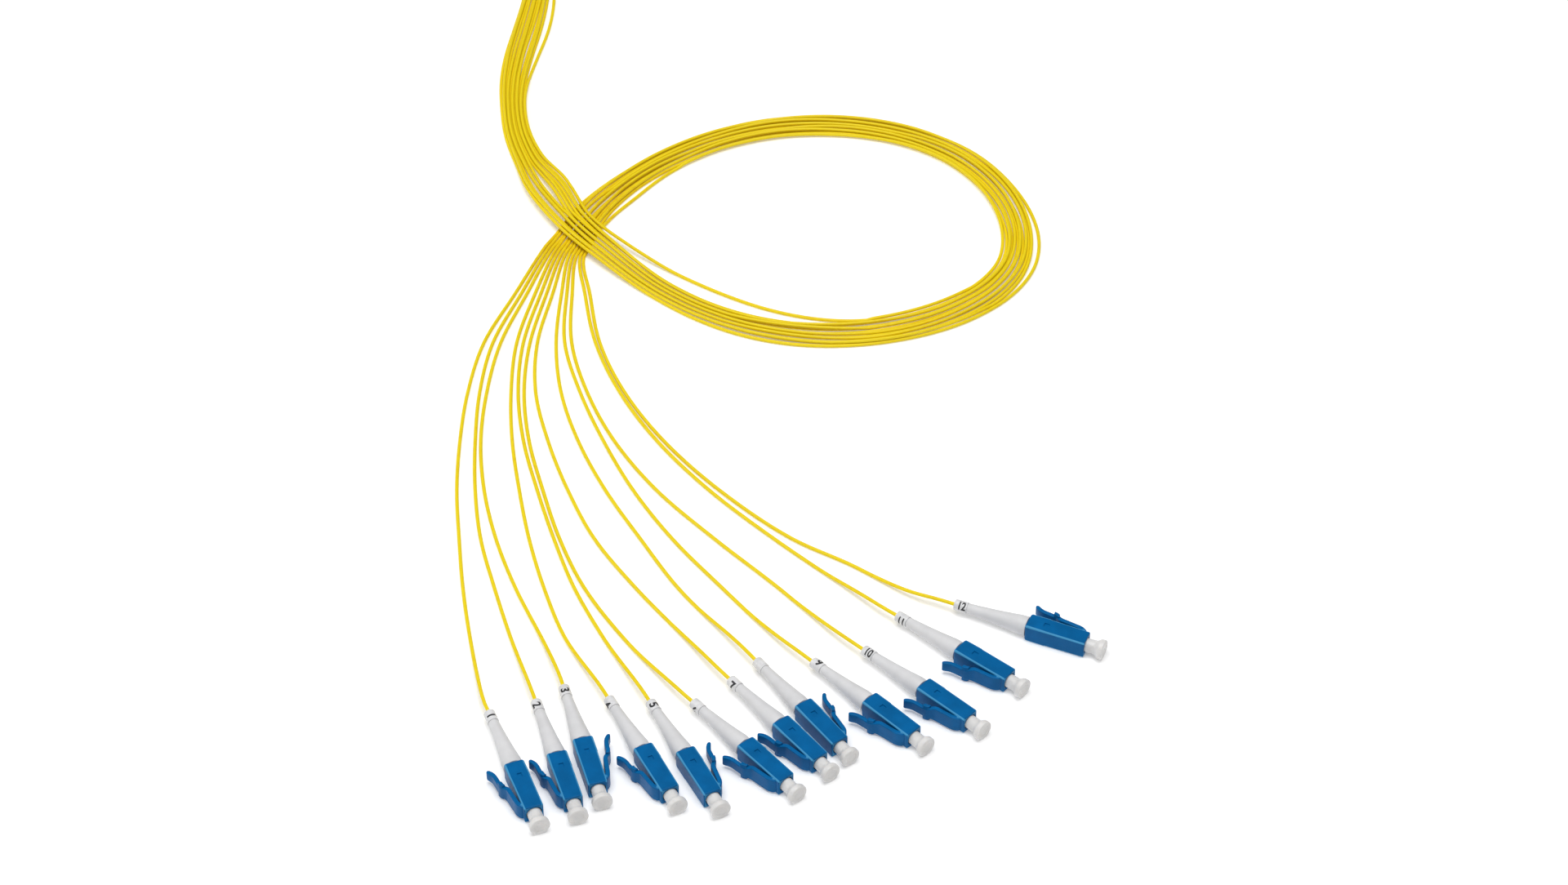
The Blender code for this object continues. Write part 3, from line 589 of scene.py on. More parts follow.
def new_finish(name, colour, roughness):
    """Principled material with its main colour and roughness."""
    made = bpy.data.materials.new(name)
    made.use_nodes = True
    made.diffuse_color = (*colour, 1.0)
    shader = made.node_tree.nodes["Principled BSDF"]
    set_inputs(shader, {"Base Color": (*colour, 1.0), "Roughness": roughness})
    return made, made.node_tree, shader


def noise(tree, scale, detail=3.0, vector=None):
    """Noise with so many features a metre, on Object coordinates or on a vector of its own."""
    made = add_node(tree, "ShaderNodeTexNoise")
    set_inputs(made, {"Scale": scale, "Detail": detail})
    if vector is None:
        vector = add_node(tree, "ShaderNodeTexCoord").outputs["Object"]
    tree.links.new(vector, made.inputs["Vector"])
    return made.outputs["Fac"]


def spread(tree, value, low, high):
    """Maps the middle of a noise to a range."""
    made = add_node(tree, "ShaderNodeMapRange")
    set_inputs(made, {"From Min": NOISE_LOW, "From Max": NOISE_HIGH,
                      "To Min": low, "To Max": high})
    tree.links.new(value, made.inputs["Value"])
    return made.outputs["Result"]


def vary_colour(tree, shader, value, dark, light):
    """Base colour that runs between two close colours."""
    mix = add_node(tree, "ShaderNodeMix", data_type="RGBA")
    set_inputs(mix, {"A": (*dark, 1.0), "B": (*light, 1.0)})
    tree.links.new(value, mix.inputs["Factor"])
    tree.links.new(mix.outputs["Result"], shader.inputs["Base Color"])
    return mix


def shade(colour, share):
    """The same colour, darker or lighter."""
    return tuple(min(channel * share, 1.0) for channel in colour)


def clouded(tree, shader, colour, scale, dark, light):
    """Base colour in soft clouds between two shades of a colour."""
    cloud = spread(tree, noise(tree, scale), 0.0, 1.0)
    return vary_colour(tree, shader, cloud, shade(colour, dark), shade(colour, light))


def uneven_gloss(tree, shader, scale, low, high):
    """Roughness that drifts between two values."""
    tree.links.new(spread(tree, noise(tree, scale), low, high), shader.inputs["Roughness"])


def add_bump(tree, shader, value, distance, strength):
    """Relief from a value, with its height in metres."""
    bump = add_node(tree, "ShaderNodeBump")
    set_inputs(bump, {"Strength": strength, "Distance": distance})
    tree.links.new(value, bump.inputs["Height"])
    tree.links.new(bump.outputs["Normal"], shader.inputs["Normal"])


def fine_grain(tree, shader, scale, distance, strength):
    """Fine bumps of moulded plastic."""
    add_bump(tree, shader, noise(tree, scale, detail=2.0), distance, strength)


def scatter_light(shader, weight, radius, scale):
    """Light that enters a milky plastic and comes out near by."""
    set_inputs(shader, {"Subsurface Weight": weight, "Subsurface Radius": radius,
                        "Subsurface Scale": scale})


def detailed(tree, shader, colour, clouds, gloss, grain=None):
    """Clouds of colour (scale, dark, light), gloss (scale, low, high) and grain of a surface."""
    body = clouded(tree, shader, colour, *clouds)
    uneven_gloss(tree, shader, *gloss)
    if grain:
        fine_grain(tree, shader, *grain)
    return body


def fibre_finish():
    """Tight buffer: soft glossy yellow, warmer and paler in places along its length."""
    colour = settings("fibre").colour
    made, tree, shader = new_finish("fibre_yellow", colour, roughness=0.42)
    set_inputs(shader, {"Specular IOR Level": 0.25})
    along = add_node(tree, "ShaderNodeAttribute", attribute_name="along")
    slow = noise(tree, scale=9.0, detail=2.0, vector=along.outputs["Vector"])
    patches = noise(tree, scale=700.0, detail=2.0)
    mixed = add_node(tree, "ShaderNodeMath", operation="MULTIPLY_ADD")
    tree.links.new(patches, mixed.inputs[0])
    mixed.inputs[1].default_value = 0.5
    tree.links.new(slow, mixed.inputs[2])
    tone = spread(tree, mixed.outputs[0], low=-0.3, high=1.1)
    deep, pale = [tuple(channel * share for channel, share in zip(colour, shares))
                  for shares in (FIBRE_DEEP, FIBRE_PALE)]
    vary_colour(tree, shader, tone, deep, pale)
    tree.links.new(spread(tree, patches, low=0.36, high=0.5), shader.inputs["Roughness"])
    fine_grain(tree, shader, scale=2600.0, distance=0.01 * MM, strength=0.5)
    return made


def housing_finish():
    """Moulded blue plastic with a fine satin grain, and a lighter blue painted along its long
    edges as a highlight.
    """
    plug = settings("housing")
    made, tree, shader = new_finish("plug_blue", plug.colour, roughness=0.34)
    set_inputs(shader, {"Specular IOR Level": 0.1})
    body = detailed(tree, shader, plug.colour, clouds=(260.0, 0.9, 1.12),
                    gloss=(1500.0, 0.28, 0.42), grain=(5200.0, 0.02 * MM, 0.35))
    # Painted highlight: the edge attribute mixes a lighter blue into the long edges
    edge = add_node(tree, "ShaderNodeAttribute", attribute_name="edge")
    painted_highlight = add_node(tree, "ShaderNodeMix", data_type="RGBA")
    set_inputs(painted_highlight, {"B": (*plug.edge_colour, 1.0)})
    tree.links.new(body.outputs["Result"], painted_highlight.inputs["A"])
    tree.links.new(edge.outputs["Fac"], painted_highlight.inputs["Factor"])
    tree.links.new(painted_highlight.outputs["Result"], shader.inputs["Base Color"])
    return made


def boot_finish():
    """Soft white elastomer, matt, with a little light passing into it."""
    colour = settings("boot").colour
    made, tree, shader = new_finish("boot_white", colour, roughness=0.5)
    scatter_light(shader, weight=0.15, radius=(1.0, 0.95, 0.9), scale=0.8 * MM)
    detailed(tree, shader, colour, clouds=(300.0, 0.96, 1.04), gloss=(900.0, 0.44, 0.58),
            grain=(3600.0, 0.02 * MM, 0.4))
    return made


def cap_finish():
    """Milky polyethylene that scatters light inside."""
    colour = settings("cap").colour
    made, tree, shader = new_finish("cap_clear_white", colour, roughness=0.32)
    scatter_light(shader, weight=0.35, radius=(1.0, 0.9, 0.8), scale=1.5 * MM)
    detailed(tree, shader, colour, clouds=(420.0, 0.93, 1.05), gloss=(1200.0, 0.26, 0.42),
            grain=(2400.0, 0.03 * MM, 0.3))
    return made


def sleeve_finish():
    """Thin clear-white marker tube."""
    colour = settings("boot").colour
    made, tree, shader = new_finish("sleeve_white", shade(colour, 1.08), roughness=0.26)
    detailed(tree, shader, colour, clouds=(700.0, 0.98, 1.14), gloss=(700.0, 0.2, 0.34))
    return made


def ink_finish():
    """Black print, a little uneven."""
    colour = settings("sleeve").ink
    made, tree, shader = new_finish("number_ink", colour, roughness=0.5)
    clouded(tree, shader, colour, scale=2500.0, dark=1.0, light=3.0)
    return made


def ceramic_finish():
    """Polished white zirconia."""
    colour = settings("ferrule").colour
    made, tree, shader = new_finish("ferrule_ceramic", colour, roughness=0.12)
    set_inputs(shader, {"IOR": 1.9})
    detailed(tree, shader, colour, clouds=(800.0, 0.97, 1.03), gloss=(800.0, 0.08, 0.16))
    return made


def strap_finish():
    """Grey brushed-loop fabric of a hook-and-loop strap."""
    colour = settings("tie").colour
    made, tree, shader = new_finish("tie_grey", colour, roughness=0.85)
    set_inputs(shader, {"Sheen Weight": 0.3, "Sheen Roughness": 0.5})
    place = add_node(tree, "ShaderNodeTexCoord")
    pile = add_node(tree, "ShaderNodeTexVoronoi")
    set_inputs(pile, {"Scale": 3200.0})
    tree.links.new(place.outputs["Object"], pile.inputs["Vector"])
    vary_colour(tree, shader, pile.outputs["Distance"], shade(colour, 0.72), shade(colour, 1.15))
    uneven_gloss(tree, shader, scale=900.0, low=0.78, high=0.92)
    add_bump(tree, shader, pile.outputs["Distance"], distance=0.1 * MM, strength=0.6)
    return made


def group_input(tree, kind, name, default=None):
    """A named input of a node tree."""
    made = tree.interface.new_socket(name, in_out="INPUT", socket_type=kind)
    if default is not None:
        made.default_value = default


def tube_tree():
    """Geometry nodes: a closed round tube along a line, which keeps how far along it lies."""
    tree = bpy.data.node_groups.new("fibre_tube", "GeometryNodeTree")
    group_input(tree, "NodeSocketGeometry", "Line")
    group_input(tree, "NodeSocketFloat", "Diameter", settings("fibre").diameter)
    group_input(tree, "NodeSocketInt", "Sides", settings("fibre").sides)
    group_input(tree, "NodeSocketMaterial", "Finish")
    tree.interface.new_socket("Tube", in_out="OUTPUT", socket_type="NodeSocketGeometry")
    inside = add_node(tree, "NodeGroupInput")
    outside = add_node(tree, "NodeGroupOutput")
    line = add_node(tree, "GeometryNodeMeshToCurve")
    place = add_node(tree, "GeometryNodeSplineParameter")
    mark = add_node(tree, "GeometryNodeStoreNamedAttribute", data_type="FLOAT", domain="POINT")
    set_inputs(mark, {"Name": "along"})
    half = add_node(tree, "ShaderNodeMath", operation="MULTIPLY")
    half.inputs[1].default_value = 0.5
    ring = add_node(tree, "GeometryNodeCurvePrimitiveCircle", mode="RADIUS")
    sweep = add_node(tree, "GeometryNodeCurveToMesh")
    set_inputs(sweep, {"Fill Caps": True})
    merge = add_node(tree, "GeometryNodeMergeByDistance")
    set_inputs(merge, {"Distance": WELD_DISTANCE})
    smooth = add_node(tree, "GeometryNodeSetShadeSmooth")
    real = add_node(tree, "GeometryNodeRealizeInstances")
    finish = add_node(tree, "GeometryNodeSetMaterial")
    for source, output, target, socket in [
            (inside, "Line", line, "Mesh"), (line, "Curve", mark, "Geometry"),
            (place, "Length", mark, "Value"), (inside, "Diameter", half, 0),
            (half, 0, ring, "Radius"), (inside, "Sides", ring, "Resolution"),
            (mark, "Geometry", sweep, "Curve"),
            (ring, "Curve", sweep, "Profile Curve"), (sweep, "Mesh", merge, "Geometry"),
            (merge, "Geometry", smooth, "Geometry"), (smooth, "Geometry", real, "Geometry"),
            (real, "Geometry", finish, "Geometry"), (inside, "Finish", finish, "Material"),
            (finish, "Geometry", outside, "Tube")]:
        tree.links.new(source.outputs[output], target.inputs[socket])
    return tree


def linked(name, data, finishes=()):
    """An object of the scene at the origin, with the finishes of its mesh."""
    for finish in finishes:
        data.materials.append(finish)
    made = bpy.data.objects.new(name, data)
    bpy.context.scene.collection.objects.link(made)
    return made


def declare(piece, body, nodes):
    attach(piece, body)
    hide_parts(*nodes)


def taken_mesh(host, *tools):
    """Plain mesh of an object with its modifiers applied. The object and its tools are removed."""
    bpy.context.view_layer.update()
    graph = bpy.context.evaluated_depsgraph_get()
    mesh = bpy.data.meshes.new_from_object(host.evaluated_get(graph))
    for old in (host, *tools):
        bpy.data.objects.remove(old, do_unlink=True)
    return mesh


def grown_mesh(name, start, tree, **inputs):
    """Plain mesh that a node tree grows from a start mesh. Its inputs are given by name."""
    host = linked(name + "_host", start)
    step = host.modifiers.new("grow", "NODES")
    step.node_group = tree
    sockets = {item.name: item.identifier for item in tree.interface.items_tree
               if item.in_out == "INPUT"}
    for label, value in inputs.items():
        step[sockets[label]] = value
    mesh = taken_mesh(host)
    mesh.name = name
    return mesh


def make_fibres():
    """The twelve fibres, each a cord of its whole length with its turns in the coil."""
    fibre = settings("fibre")
    finish = fibre_finish()
    tree = tube_tree()
    for number, route in enumerate(fibre_routes(), start=1):
        name = f"fibre_{number:02d}"
        line = bpy.data.meshes.new(name + "_line")
        line.from_pydata(route, [(k, k + 1) for k in range(len(route) - 1)], [])
        mesh = grown_mesh(name, line, tree, Diameter=fibre.diameter, Sides=fibre.sides,
                          Finish=finish)
        piece = linked(f"buffer_{number:02d}", mesh)
        declare(piece, BODY, [name, "coil"])


def plug_places():
    """Label and matrix of each plug: its own X points to the cap, its Z to the latch."""
    for number, (x, y, heading, side) in enumerate(PLUGS, start=1):
        place = Matrix.Translation(SHIFT + Vector((x * MM, y * MM, AXIS_HEIGHT)))
        turn = Matrix.Rotation(math.radians(heading), 4, "Z")
        roll = Matrix.Rotation(side * math.pi / 2, 4, "X")
        yield f"{number:02d}", place @ turn @ roll


def loft(rings, closed=False):
    """Closed mesh through rings of points, with flat ends or joined end to end."""
    bm = bmesh.new()
    rows = [[bm.verts.new(point) for point in ring] for ring in rings]
    pairs = list(zip(rows, rows[1:])) + ([(rows[-1], rows[0])] if closed else [])
    for low, high in pairs:
        for i in range(len(low)):
            j = (i + 1) % len(low)
            bm.faces.new((low[i], low[j], high[j], high[i]))
    if not closed:
        bm.faces.new(list(reversed(rows[0])))
        bm.faces.new(rows[-1])
    bmesh.ops.remove_doubles(bm, verts=bm.verts, dist=FINE_WELD)
    bmesh.ops.recalc_face_normals(bm, faces=bm.faces)
    return bm


def soft_profile(points, steps=4):
    """Outline with rounded corners. Each point is (x, radius, corner size) in metres."""
    places = [Vector(point[:2]) for point in points]
    outline = []
    for k, (point, item) in enumerate(zip(places, points)):
        size = item[2] if len(item) > 2 else 0.0
        if size == 0.0 or k in (0, len(points) - 1):
            outline.append(point)
            continue
        before = places[k - 1] - point
        after = places[k + 1] - point
        start = point + before.normalized() * min(size, before.length * 0.49)
        end = point + after.normalized() * min(size, after.length * 0.49)
        for step in range(steps + 1):
            t = step / steps
            outline.append(start * (1 - t) ** 2 + point * 2 * t * (1 - t) + end * t ** 2)
    return outline


def lathe(profile, sides, closed=False):
    """Solid of revolution about X through an outline of (x, radius)."""
    rings = []
    for x, radius in profile:
        turns = [2 * math.pi * k / sides for k in range(sides)]
        rings.append([Vector((x, radius * math.cos(a), radius * math.sin(a))) for a in turns])
    return loft(rings, closed)


def mesh_of(bm, name, sharp=35):
    """Smoothly shaded mesh whose edges over an angle in degrees stay sharp."""
    mesh = bpy.data.meshes.new(name)
    bm.to_mesh(mesh)
    bm.free()
    mesh.shade_smooth()
    mesh.set_sharp_from_angle(angle=math.radians(sharp))
    return mesh


def placed(mesh, name, matrix):
    """Copy of a mesh in its place."""
    made = mesh.copy()
    made.name = name
    made.transform(matrix)
    return made


def rounded_ring(middle, across, up, half_width, half_height, corner, steps=4):
    """Points of a rounded rectangle about a middle, in the plane of two directions."""
    ring = []
    for quarter in range(4):
        side = 1 if quarter in (0, 3) else -1
        top = 1 if quarter < 2 else -1
        for k in range(steps + 1):
            angle = math.pi / 2 * (quarter + k / steps)
            u = side * (half_width - corner) + corner * math.cos(angle)
            v = top * (half_height - corner) + corner * math.sin(angle)
            ring.append(middle + across * u + up * v)
    return ring


def strip_ring(path, k, base, half_width, half_thickness, corner):
    """Ring of a strip, square to its path of (x, height over its base). Its width is along Y."""
    before, after = path[max(k - 1, 0)], path[min(k + 1, len(path) - 1)]
    run = Vector((after[0] - before[0], 0.0, after[1] - before[1])).normalized()
    middle = Vector((path[k][0], 0.0, base + path[k][1]))
    return rounded_ring(middle, ACROSS, ACROSS.cross(run), half_width, half_thickness, corner,
                        steps=3)


def rounded_inset(radius, reach):
    """How far a rounded end draws in, a distance past the start of its round."""
    return radius - math.sqrt(max(radius ** 2 - reach ** 2, 0.0))


def block_section(x):
    """Half width, half height and corner radius of the housing at a station."""
    plug = settings("housing")
    half_y, half_z, front = plug.rear_width / 2, plug.rear_height / 2, plug.front_side / 2
    if x < plug.rear_round:
        inset = rounded_inset(plug.rear_round, plug.rear_round - x)
        return half_y - inset, half_z - inset, REAR_CORNER - inset / 2
    if x < plug.rear_straight:
        return half_y, half_z, GRIP_CORNER
    share = (x - plug.rear_straight) / (plug.length - plug.rear_straight)
    inset = rounded_inset(plug.front_round, max(x - plug.length + plug.front_round, 0.0))
    return (half_y - GRIP_STEP + (front - half_y + GRIP_STEP) * share - inset,
            half_z - GRIP_STEP + (front - half_z + GRIP_STEP) * share - inset,
            FRONT_CORNER - inset / 2)


def housing_block():
    """Body of the housing: a round-edged grip that narrows to a crisp square front."""
    plug = settings("housing")
    straight, length = plug.rear_straight, plug.length
    stations = [plug.rear_round * (1 - math.cos(math.pi / 8 * k)) for k in range(5)]
    stations += [straight - STEP_LENGTH, straight, (straight + length) / 2]
    stations += [length - plug.front_round * (1 - math.sin(math.pi / 6 * k)) for k in range(4)]
    rings = []
    for x in stations:
        half_y, half_z, corner = block_section(x)
        rings.append(rounded_ring(Vector((x, 0.0, 0.0)), ACROSS, UP, half_y, half_z, corner))
    return loft(rings)


def mark_edges(mesh):
    """Attribute that is 1 along the rounded long edges of the housing, where a highlight is
    painted, and 0 elsewhere.
    """
    edge = mesh.attributes.new("edge", "FLOAT", "POINT")
    for vert in mesh.vertices:
        half_y, half_z, corner = block_section(vert.co.x)
        out_y = abs(vert.co.y) - (half_y - corner)
        out_z = abs(vert.co.z) - (half_z - corner)
        reach = math.hypot(max(out_y, 0.0), max(out_z, 0.0))
        on_highlight = min(out_y, out_z) > HIGHLIGHT_START * corner and reach < HIGHLIGHT_REACH * corner
        edge.data[vert.index].value = 1.0 if on_highlight else 0.0


def lever_strip():
    """Latch lever from its root at the front, over its step and free arm, to its curled tip."""
    plug, latch = settings("housing"), settings("latch")
    front = plug.front_side / 2
    nose = plug.length - latch.setback
    thick, wide, arm = latch.thickness, latch.front_width, latch.arm_width
    # Middle of the strip: x from the rear, height above the front's side, thickness and width
    points = [
        (nose, -0.35 * MM, thick * 0.6, wide - 0.5 * MM),
        (nose - 0.45 * MM, -0.02 * MM, thick, wide - 0.1 * MM),
        (nose - 1.0 * MM, 0.33 * MM, thick * 1.1, wide),
        (nose - 1.6 * MM, 0.66 * MM, thick * 1.05, wide),
        (10.5 * MM, 0.95 * MM, thick, wide),
        (8.5 * MM, 1.2 * MM, thick, wide),
        (7.35 * MM, 1.38 * MM, thick, wide - 0.1 * MM),
        (6.6 * MM, 1.78 * MM, thick * 1.05, wide - 0.6 * MM),
        (5.7 * MM, 2.38 * MM, thick, arm + 0.3 * MM),
        (4.9 * MM, 2.53 * MM, thick, arm),
        (3.4 * MM, 2.70 * MM, thick, arm),
        (2.0 * MM, 2.88 * MM, thick, arm),
        (1.2 * MM, 3.15 * MM, thick, arm),
        (0.6 * MM, 3.50 * MM, thick * 0.95, arm),
        (0.1 * MM, 3.86 * MM, thick * 0.8, arm - 0.05 * MM),
        (-0.1 * MM, 4.03 * MM, thick * 0.5, arm - 0.2 * MM),
    ]
    dense = curve_through([Vector(point) for point in points], samples=4)
    return loft([strip_ring(dense, k, front, width / 2, thickness / 2,
                            min(LEVER_CORNER, thickness * LEVER_SHARE))
                 for k, (_, _, thickness, width) in enumerate(dense)])


def lever_shoulder():
    """The two stops on the lever that catch in the adapter, as one bar across it."""
    plug, latch = settings("housing"), settings("latch")
    front = plug.front_side / 2
    half = latch.shoulder_width / 2
    # Middle of the bar: x from the rear, height above the front's side, and the bar's own height
    outline = [(4.85, 2.55, 0.75), (4.97, 2.55, 0.96), (5.6, 2.42, 0.98), (6.1, 2.16, 0.95),
               (6.28, 2.06, 0.72)]
    rings = []
    for x, rise, height in outline:
        middle = Vector((x * MM, 0.0, front + rise * MM))
        rings.append(rounded_ring(middle, ACROSS, UP, half, height / 2 * MM, SHOULDER_CORNER,
                                  steps=3))
    return loft(rings)


def box_bm(low, high):
    """Box between two corners."""
    bm = bmesh.new()
    bmesh.ops.create_cube(bm, size=1.0)
    for vert in bm.verts:
        vert.co = Vector([a + (c + 0.5) * (b - a) for a, b, c in zip(low, high, vert.co)])
    return bm


def rod_bm(start, end, radius):
    """Cylinder along X."""
    return lathe([(start, 0.0), (start, radius), (end, radius), (end, 0.0)], BORE_SIDES)


def cut_and_joined(body, steps):
    """Applies a list of Boolean steps, each an operation and a bmesh, to a body."""
    target = linked("target", mesh_of(body, "target"))
    tools = []
    for operation, tool_bm in steps:
        tool = linked("tool", mesh_of(tool_bm, "tool"))
        step = target.modifiers.new("cut", "BOOLEAN")
        step.operation = operation
        step.solver = "EXACT"
        step.object = tool
        tools.append(tool)
    return taken_mesh(target, *tools)


def modified(mesh, kind, **values):
    """Mesh with one modifier applied."""
    host = linked("host", mesh)
    step = host.modifiers.new("step", kind)
    for name, value in values.items():
        setattr(step, name, value)
    return taken_mesh(host)


def eased_edges(mesh):
    """Mesh with a small bevel on its sharp edges, and flat faces that shade flat."""
    made = modified(mesh, "BEVEL", width=EDGE_BEVEL, segments=2, limit_method="ANGLE",
                    angle_limit=BEVEL_ANGLE, miter_outer="MITER_ARC")
    made.shade_smooth()
    made.set_sharp_from_angle(angle=CREASE_ANGLE)
    return modified(made, "WEIGHTED_NORMAL", keep_sharp=True)


def housing_shape():
    """Housing with its lever, front socket, boot bore and side windows."""
    plug = settings("housing")
    floor = plug.length - plug.socket_depth
    socket = rod_bm(floor, plug.length + CUT_PAST, plug.socket_diameter / 2)
    seat = rod_bm(-CUT_PAST, plug.seat_depth, plug.seat_diameter / 2)
    steps = [("UNION", lever_strip()), ("UNION", lever_shoulder()),
             ("DIFFERENCE", socket), ("DIFFERENCE", seat)]
    start = plug.window_place - plug.window_length / 2
    end = start + plug.window_length
    pane = plug.rear_width / 2 - plug.window_depth
    for side in (-1, 1):
        low, high = sorted((side * pane, side * (pane + CUT_PAST)))
        window = box_bm((start, low, -plug.window_height / 2), (end, high, plug.window_height / 2))
        steps.append(("DIFFERENCE", window))
    mesh = eased_edges(cut_and_joined(housing_block(), steps))
    # Marks where the painted edge highlight goes
    mark_edges(mesh)
    return mesh


def add_to_plugs(prefix, shape, finish, node, body=None):
    """A copy of a piece on each plug, where it stands for the plug's own node."""
    for label, matrix in plug_places():
        name = prefix + label
        piece = linked(name, placed(shape, name, matrix), [finish])
        declare(piece, body + label if body else BODY, [node + label])


def ferrule_shape():
    """Ceramic ferrule with a chamfered, domed tip, in its flange at the socket's floor."""
    plug, ferrule = settings("housing"), settings("ferrule")
    base = plug.length - plug.socket_depth
    step, tip = base + FLANGE_LENGTH, plug.length + ferrule.reach
    radius, flange = ferrule.diameter / 2, ferrule.flange_diameter / 2
    profile = soft_profile([
        (base + FACE_GAP, 0.0), (base + FACE_GAP, flange, 0.05 * MM), (step, flange, 0.12 * MM),
        (step, flange - FLANGE_STEP, 0.1 * MM), (step + FLANGE_CONE, radius, 0.1 * MM),
        (tip - TIP_CONE, radius, 0.08 * MM), (tip - TIP_DOME, radius - TIP_INSET, 0.06 * MM),
        (tip, 0.0)])
    return mesh_of(lathe(profile, FERRULE_SIDES), "ferrule")


def boot_shape():
    """Boot from its spigot in the housing, over a waisted cone, back to its bored tail."""
    boot, sleeve = settings("boot"), settings("sleeve")
    front, waist = boot.front_diameter / 2, boot.waist_diameter / 2
    spigot = boot.spigot_diameter / 2
    tail, seat = -boot.length, -FACE_GAP
    step = tail + sleeve.length
    bore_end = tail + BOOT_ENTRY + BORE_PAST
    bore = settings("fibre").diameter / 2 + BORE_PLAY
    under = sleeve.diameter / 2 - TAIL_INSET
    profile = [(bore_end, 0.0), (bore_end, bore), (tail, bore, 0.1 * MM), (tail, under, 0.2 * MM),
               (step + CONE_START / 2, under, 0.02 * MM)]
    cone_start, cone_end = step + CONE_START, seat - COLLAR_LENGTH
    for k in range(CONE_STEPS + 1):
        share = k / CONE_STEPS
        swell = (1 - CONE_HOLLOW) * share + CONE_HOLLOW * share ** CONE_POWER
        profile.append((cone_start + (cone_end - cone_start) * share,
                        waist + (front - waist) * swell))
    profile += [(seat, front, 0.12 * MM), (seat, spigot + 0.05 * MM, 0.05 * MM),
                (boot.spigot_length, spigot, 0.15 * MM), (boot.spigot_length, 0.0)]
    return mesh_of(lathe(soft_profile(profile), BOOT_SIDES), "boot")


def sleeve_shape():
    """Marker tube shrunk on the boot's tail."""
    tail, sleeve = -settings("boot").length, settings("sleeve")
    outer, inner = sleeve.diameter / 2, sleeve.diameter / 2 - sleeve.wall
    rear = tail + SLEEVE_SETBACK
    front = tail + sleeve.length - FACE_GAP
    middle = (rear + front) / 2
    profile = soft_profile([
        (middle, outer), (front, outer, 0.12 * MM), (front, inner, 0.05 * MM),
        (rear, inner, 0.05 * MM), (rear, outer, 0.12 * MM), (middle - SLEEVE_SEAM, outer)])
    return lathe(profile, BOOT_SIDES, closed=True)


def flat_digits(text):
    """Bold digits lying flat, with cuts along them so that they can bend."""
    sleeve = settings("sleeve")
    curve = bpy.data.curves.new("digits", "FONT")
    curve.body = text
    curve.size = sleeve.digit_size
    curve.align_x = "CENTER"
    curve.align_y = "CENTER"
    curve.extrude = DIGIT_THICKNESS
    curve.offset = DIGIT_BOLDNESS
    bm = bmesh.new()
    bm.from_mesh(taken_mesh(linked("digits", curve)))
    bmesh.ops.remove_doubles(bm, verts=bm.verts, dist=WELD_DISTANCE)
    for k in range(1 - DIGIT_CUTS, DIGIT_CUTS):
        place = ACROSS * (DIGIT_REACH * k / DIGIT_CUTS)
        bmesh.ops.bisect_plane(bm, geom=bm.verts[:] + bm.edges[:] + bm.faces[:], plane_co=place,
                               plane_no=ACROSS, dist=FINE_WELD)
    return bm


def number_bm(text, matrix, roll):
    """Digits laid round the sleeve, read towards the plug, a roll away from facing the camera."""
    sleeve = settings("sleeve")
    outer = sleeve.diameter / 2
    ahead = (matrix.to_3x3() @ Vector((1.0, 0.0, 0.0))).normalized()
    view = (VIEW_FROM - ahead * VIEW_FROM.dot(ahead)).normalized()
    turned = view * math.cos(roll) + view.cross(ahead) * math.sin(roll)
    facing = matrix.to_3x3().inverted() @ turned
    middle_angle = math.atan2(facing.z, facing.y)
    middle = sleeve.digit_place - settings("boot").length
    narrow = 1.0 if len(text) == 1 else DIGIT_NARROWING
    bm = flat_digits(text)
    for vert in bm.verts:
        x, y, z = vert.co
        angle = middle_angle - y / outer
        radius = outer + z
        vert.co = Vector((middle + x * narrow, radius * math.cos(angle), radius * math.sin(angle)))
    bmesh.ops.recalc_face_normals(bm, faces=bm.faces)
    return bm


def make_sleeves():
    """A sleeve on each boot's tail, with its own number in one mesh."""
    finish, ink = sleeve_finish(), ink_finish()
    shape = mesh_of(sleeve_shape(), "sleeve")
    for (label, matrix), roll in zip(plug_places(), NUMBER_ROLLS):
        bm = bmesh.new()
        bm.from_mesh(shape)
        digits = bpy.data.meshes.new("digits")
        number = number_bm(str(int(label)), matrix, math.radians(roll))
        for face in number.faces:
            face.material_index = 1
        number.to_mesh(digits)
        number.free()
        bm.from_mesh(digits)
        mesh = mesh_of(bm, "sleeve_" + label, sharp=50)
        mesh.transform(matrix)
        piece = linked("number_sleeve_" + label, mesh, [finish, ink])
        declare(piece, BODY, ["boot_" + label])


def cap_shape():
    """Dust cap: a thin-walled neck over the ferrule, flaring to a round-edged grip."""
    front, cap = settings("housing").length, settings("cap")
    end = front + cap.protrusion
    knob, neck, bore = cap.knob_diameter / 2, cap.neck_diameter / 2, cap.bore / 2
    rim = front - cap.insertion
    bottom = front + CAP_BORE_END
    flare = end - cap.knob_length
    dimple = end - DIMPLE_DEPTH
    profile = soft_profile([
        (bottom, 0.0), (bottom, bore, 0.15 * MM), (rim, bore, 0.12 * MM), (rim, neck, 0.2 * MM),
        (flare - cap.flare, neck, 0.4 * MM), (flare, knob, 0.25 * MM), (end, knob, 0.28 * MM),
        (end, DIMPLE_RADIUS, 0.1 * MM), (dimple, DIMPLE_RADIUS - DIMPLE_SLOPE, 0.1 * MM),
        (dimple, 0.0)], steps=5)
    return mesh_of(lathe(profile, CAP_SIDES), "cap")


def strap_path(low, high, offset, thickness):
    """Way of a strap round the coil's section (radius, height), once round and over its start."""
    over = offset + thickness * STRAP_LIFT
    left, right, top = low.x - offset, high.x + offset, high.y + offset
    floor = thickness / 2 + FLOOR_CLEARANCE
    outer, lap = high.x + over, high.y + over
    corners = [(right, top), (left, top), (left, floor), (outer, floor), (outer, lap)]
    return soft_profile([(right, low.y + STRAP_START), *[(x, z, STRAP_BEND) for x, z in corners],
                         (low.x + STRAP_LAP, lap)], steps=6)


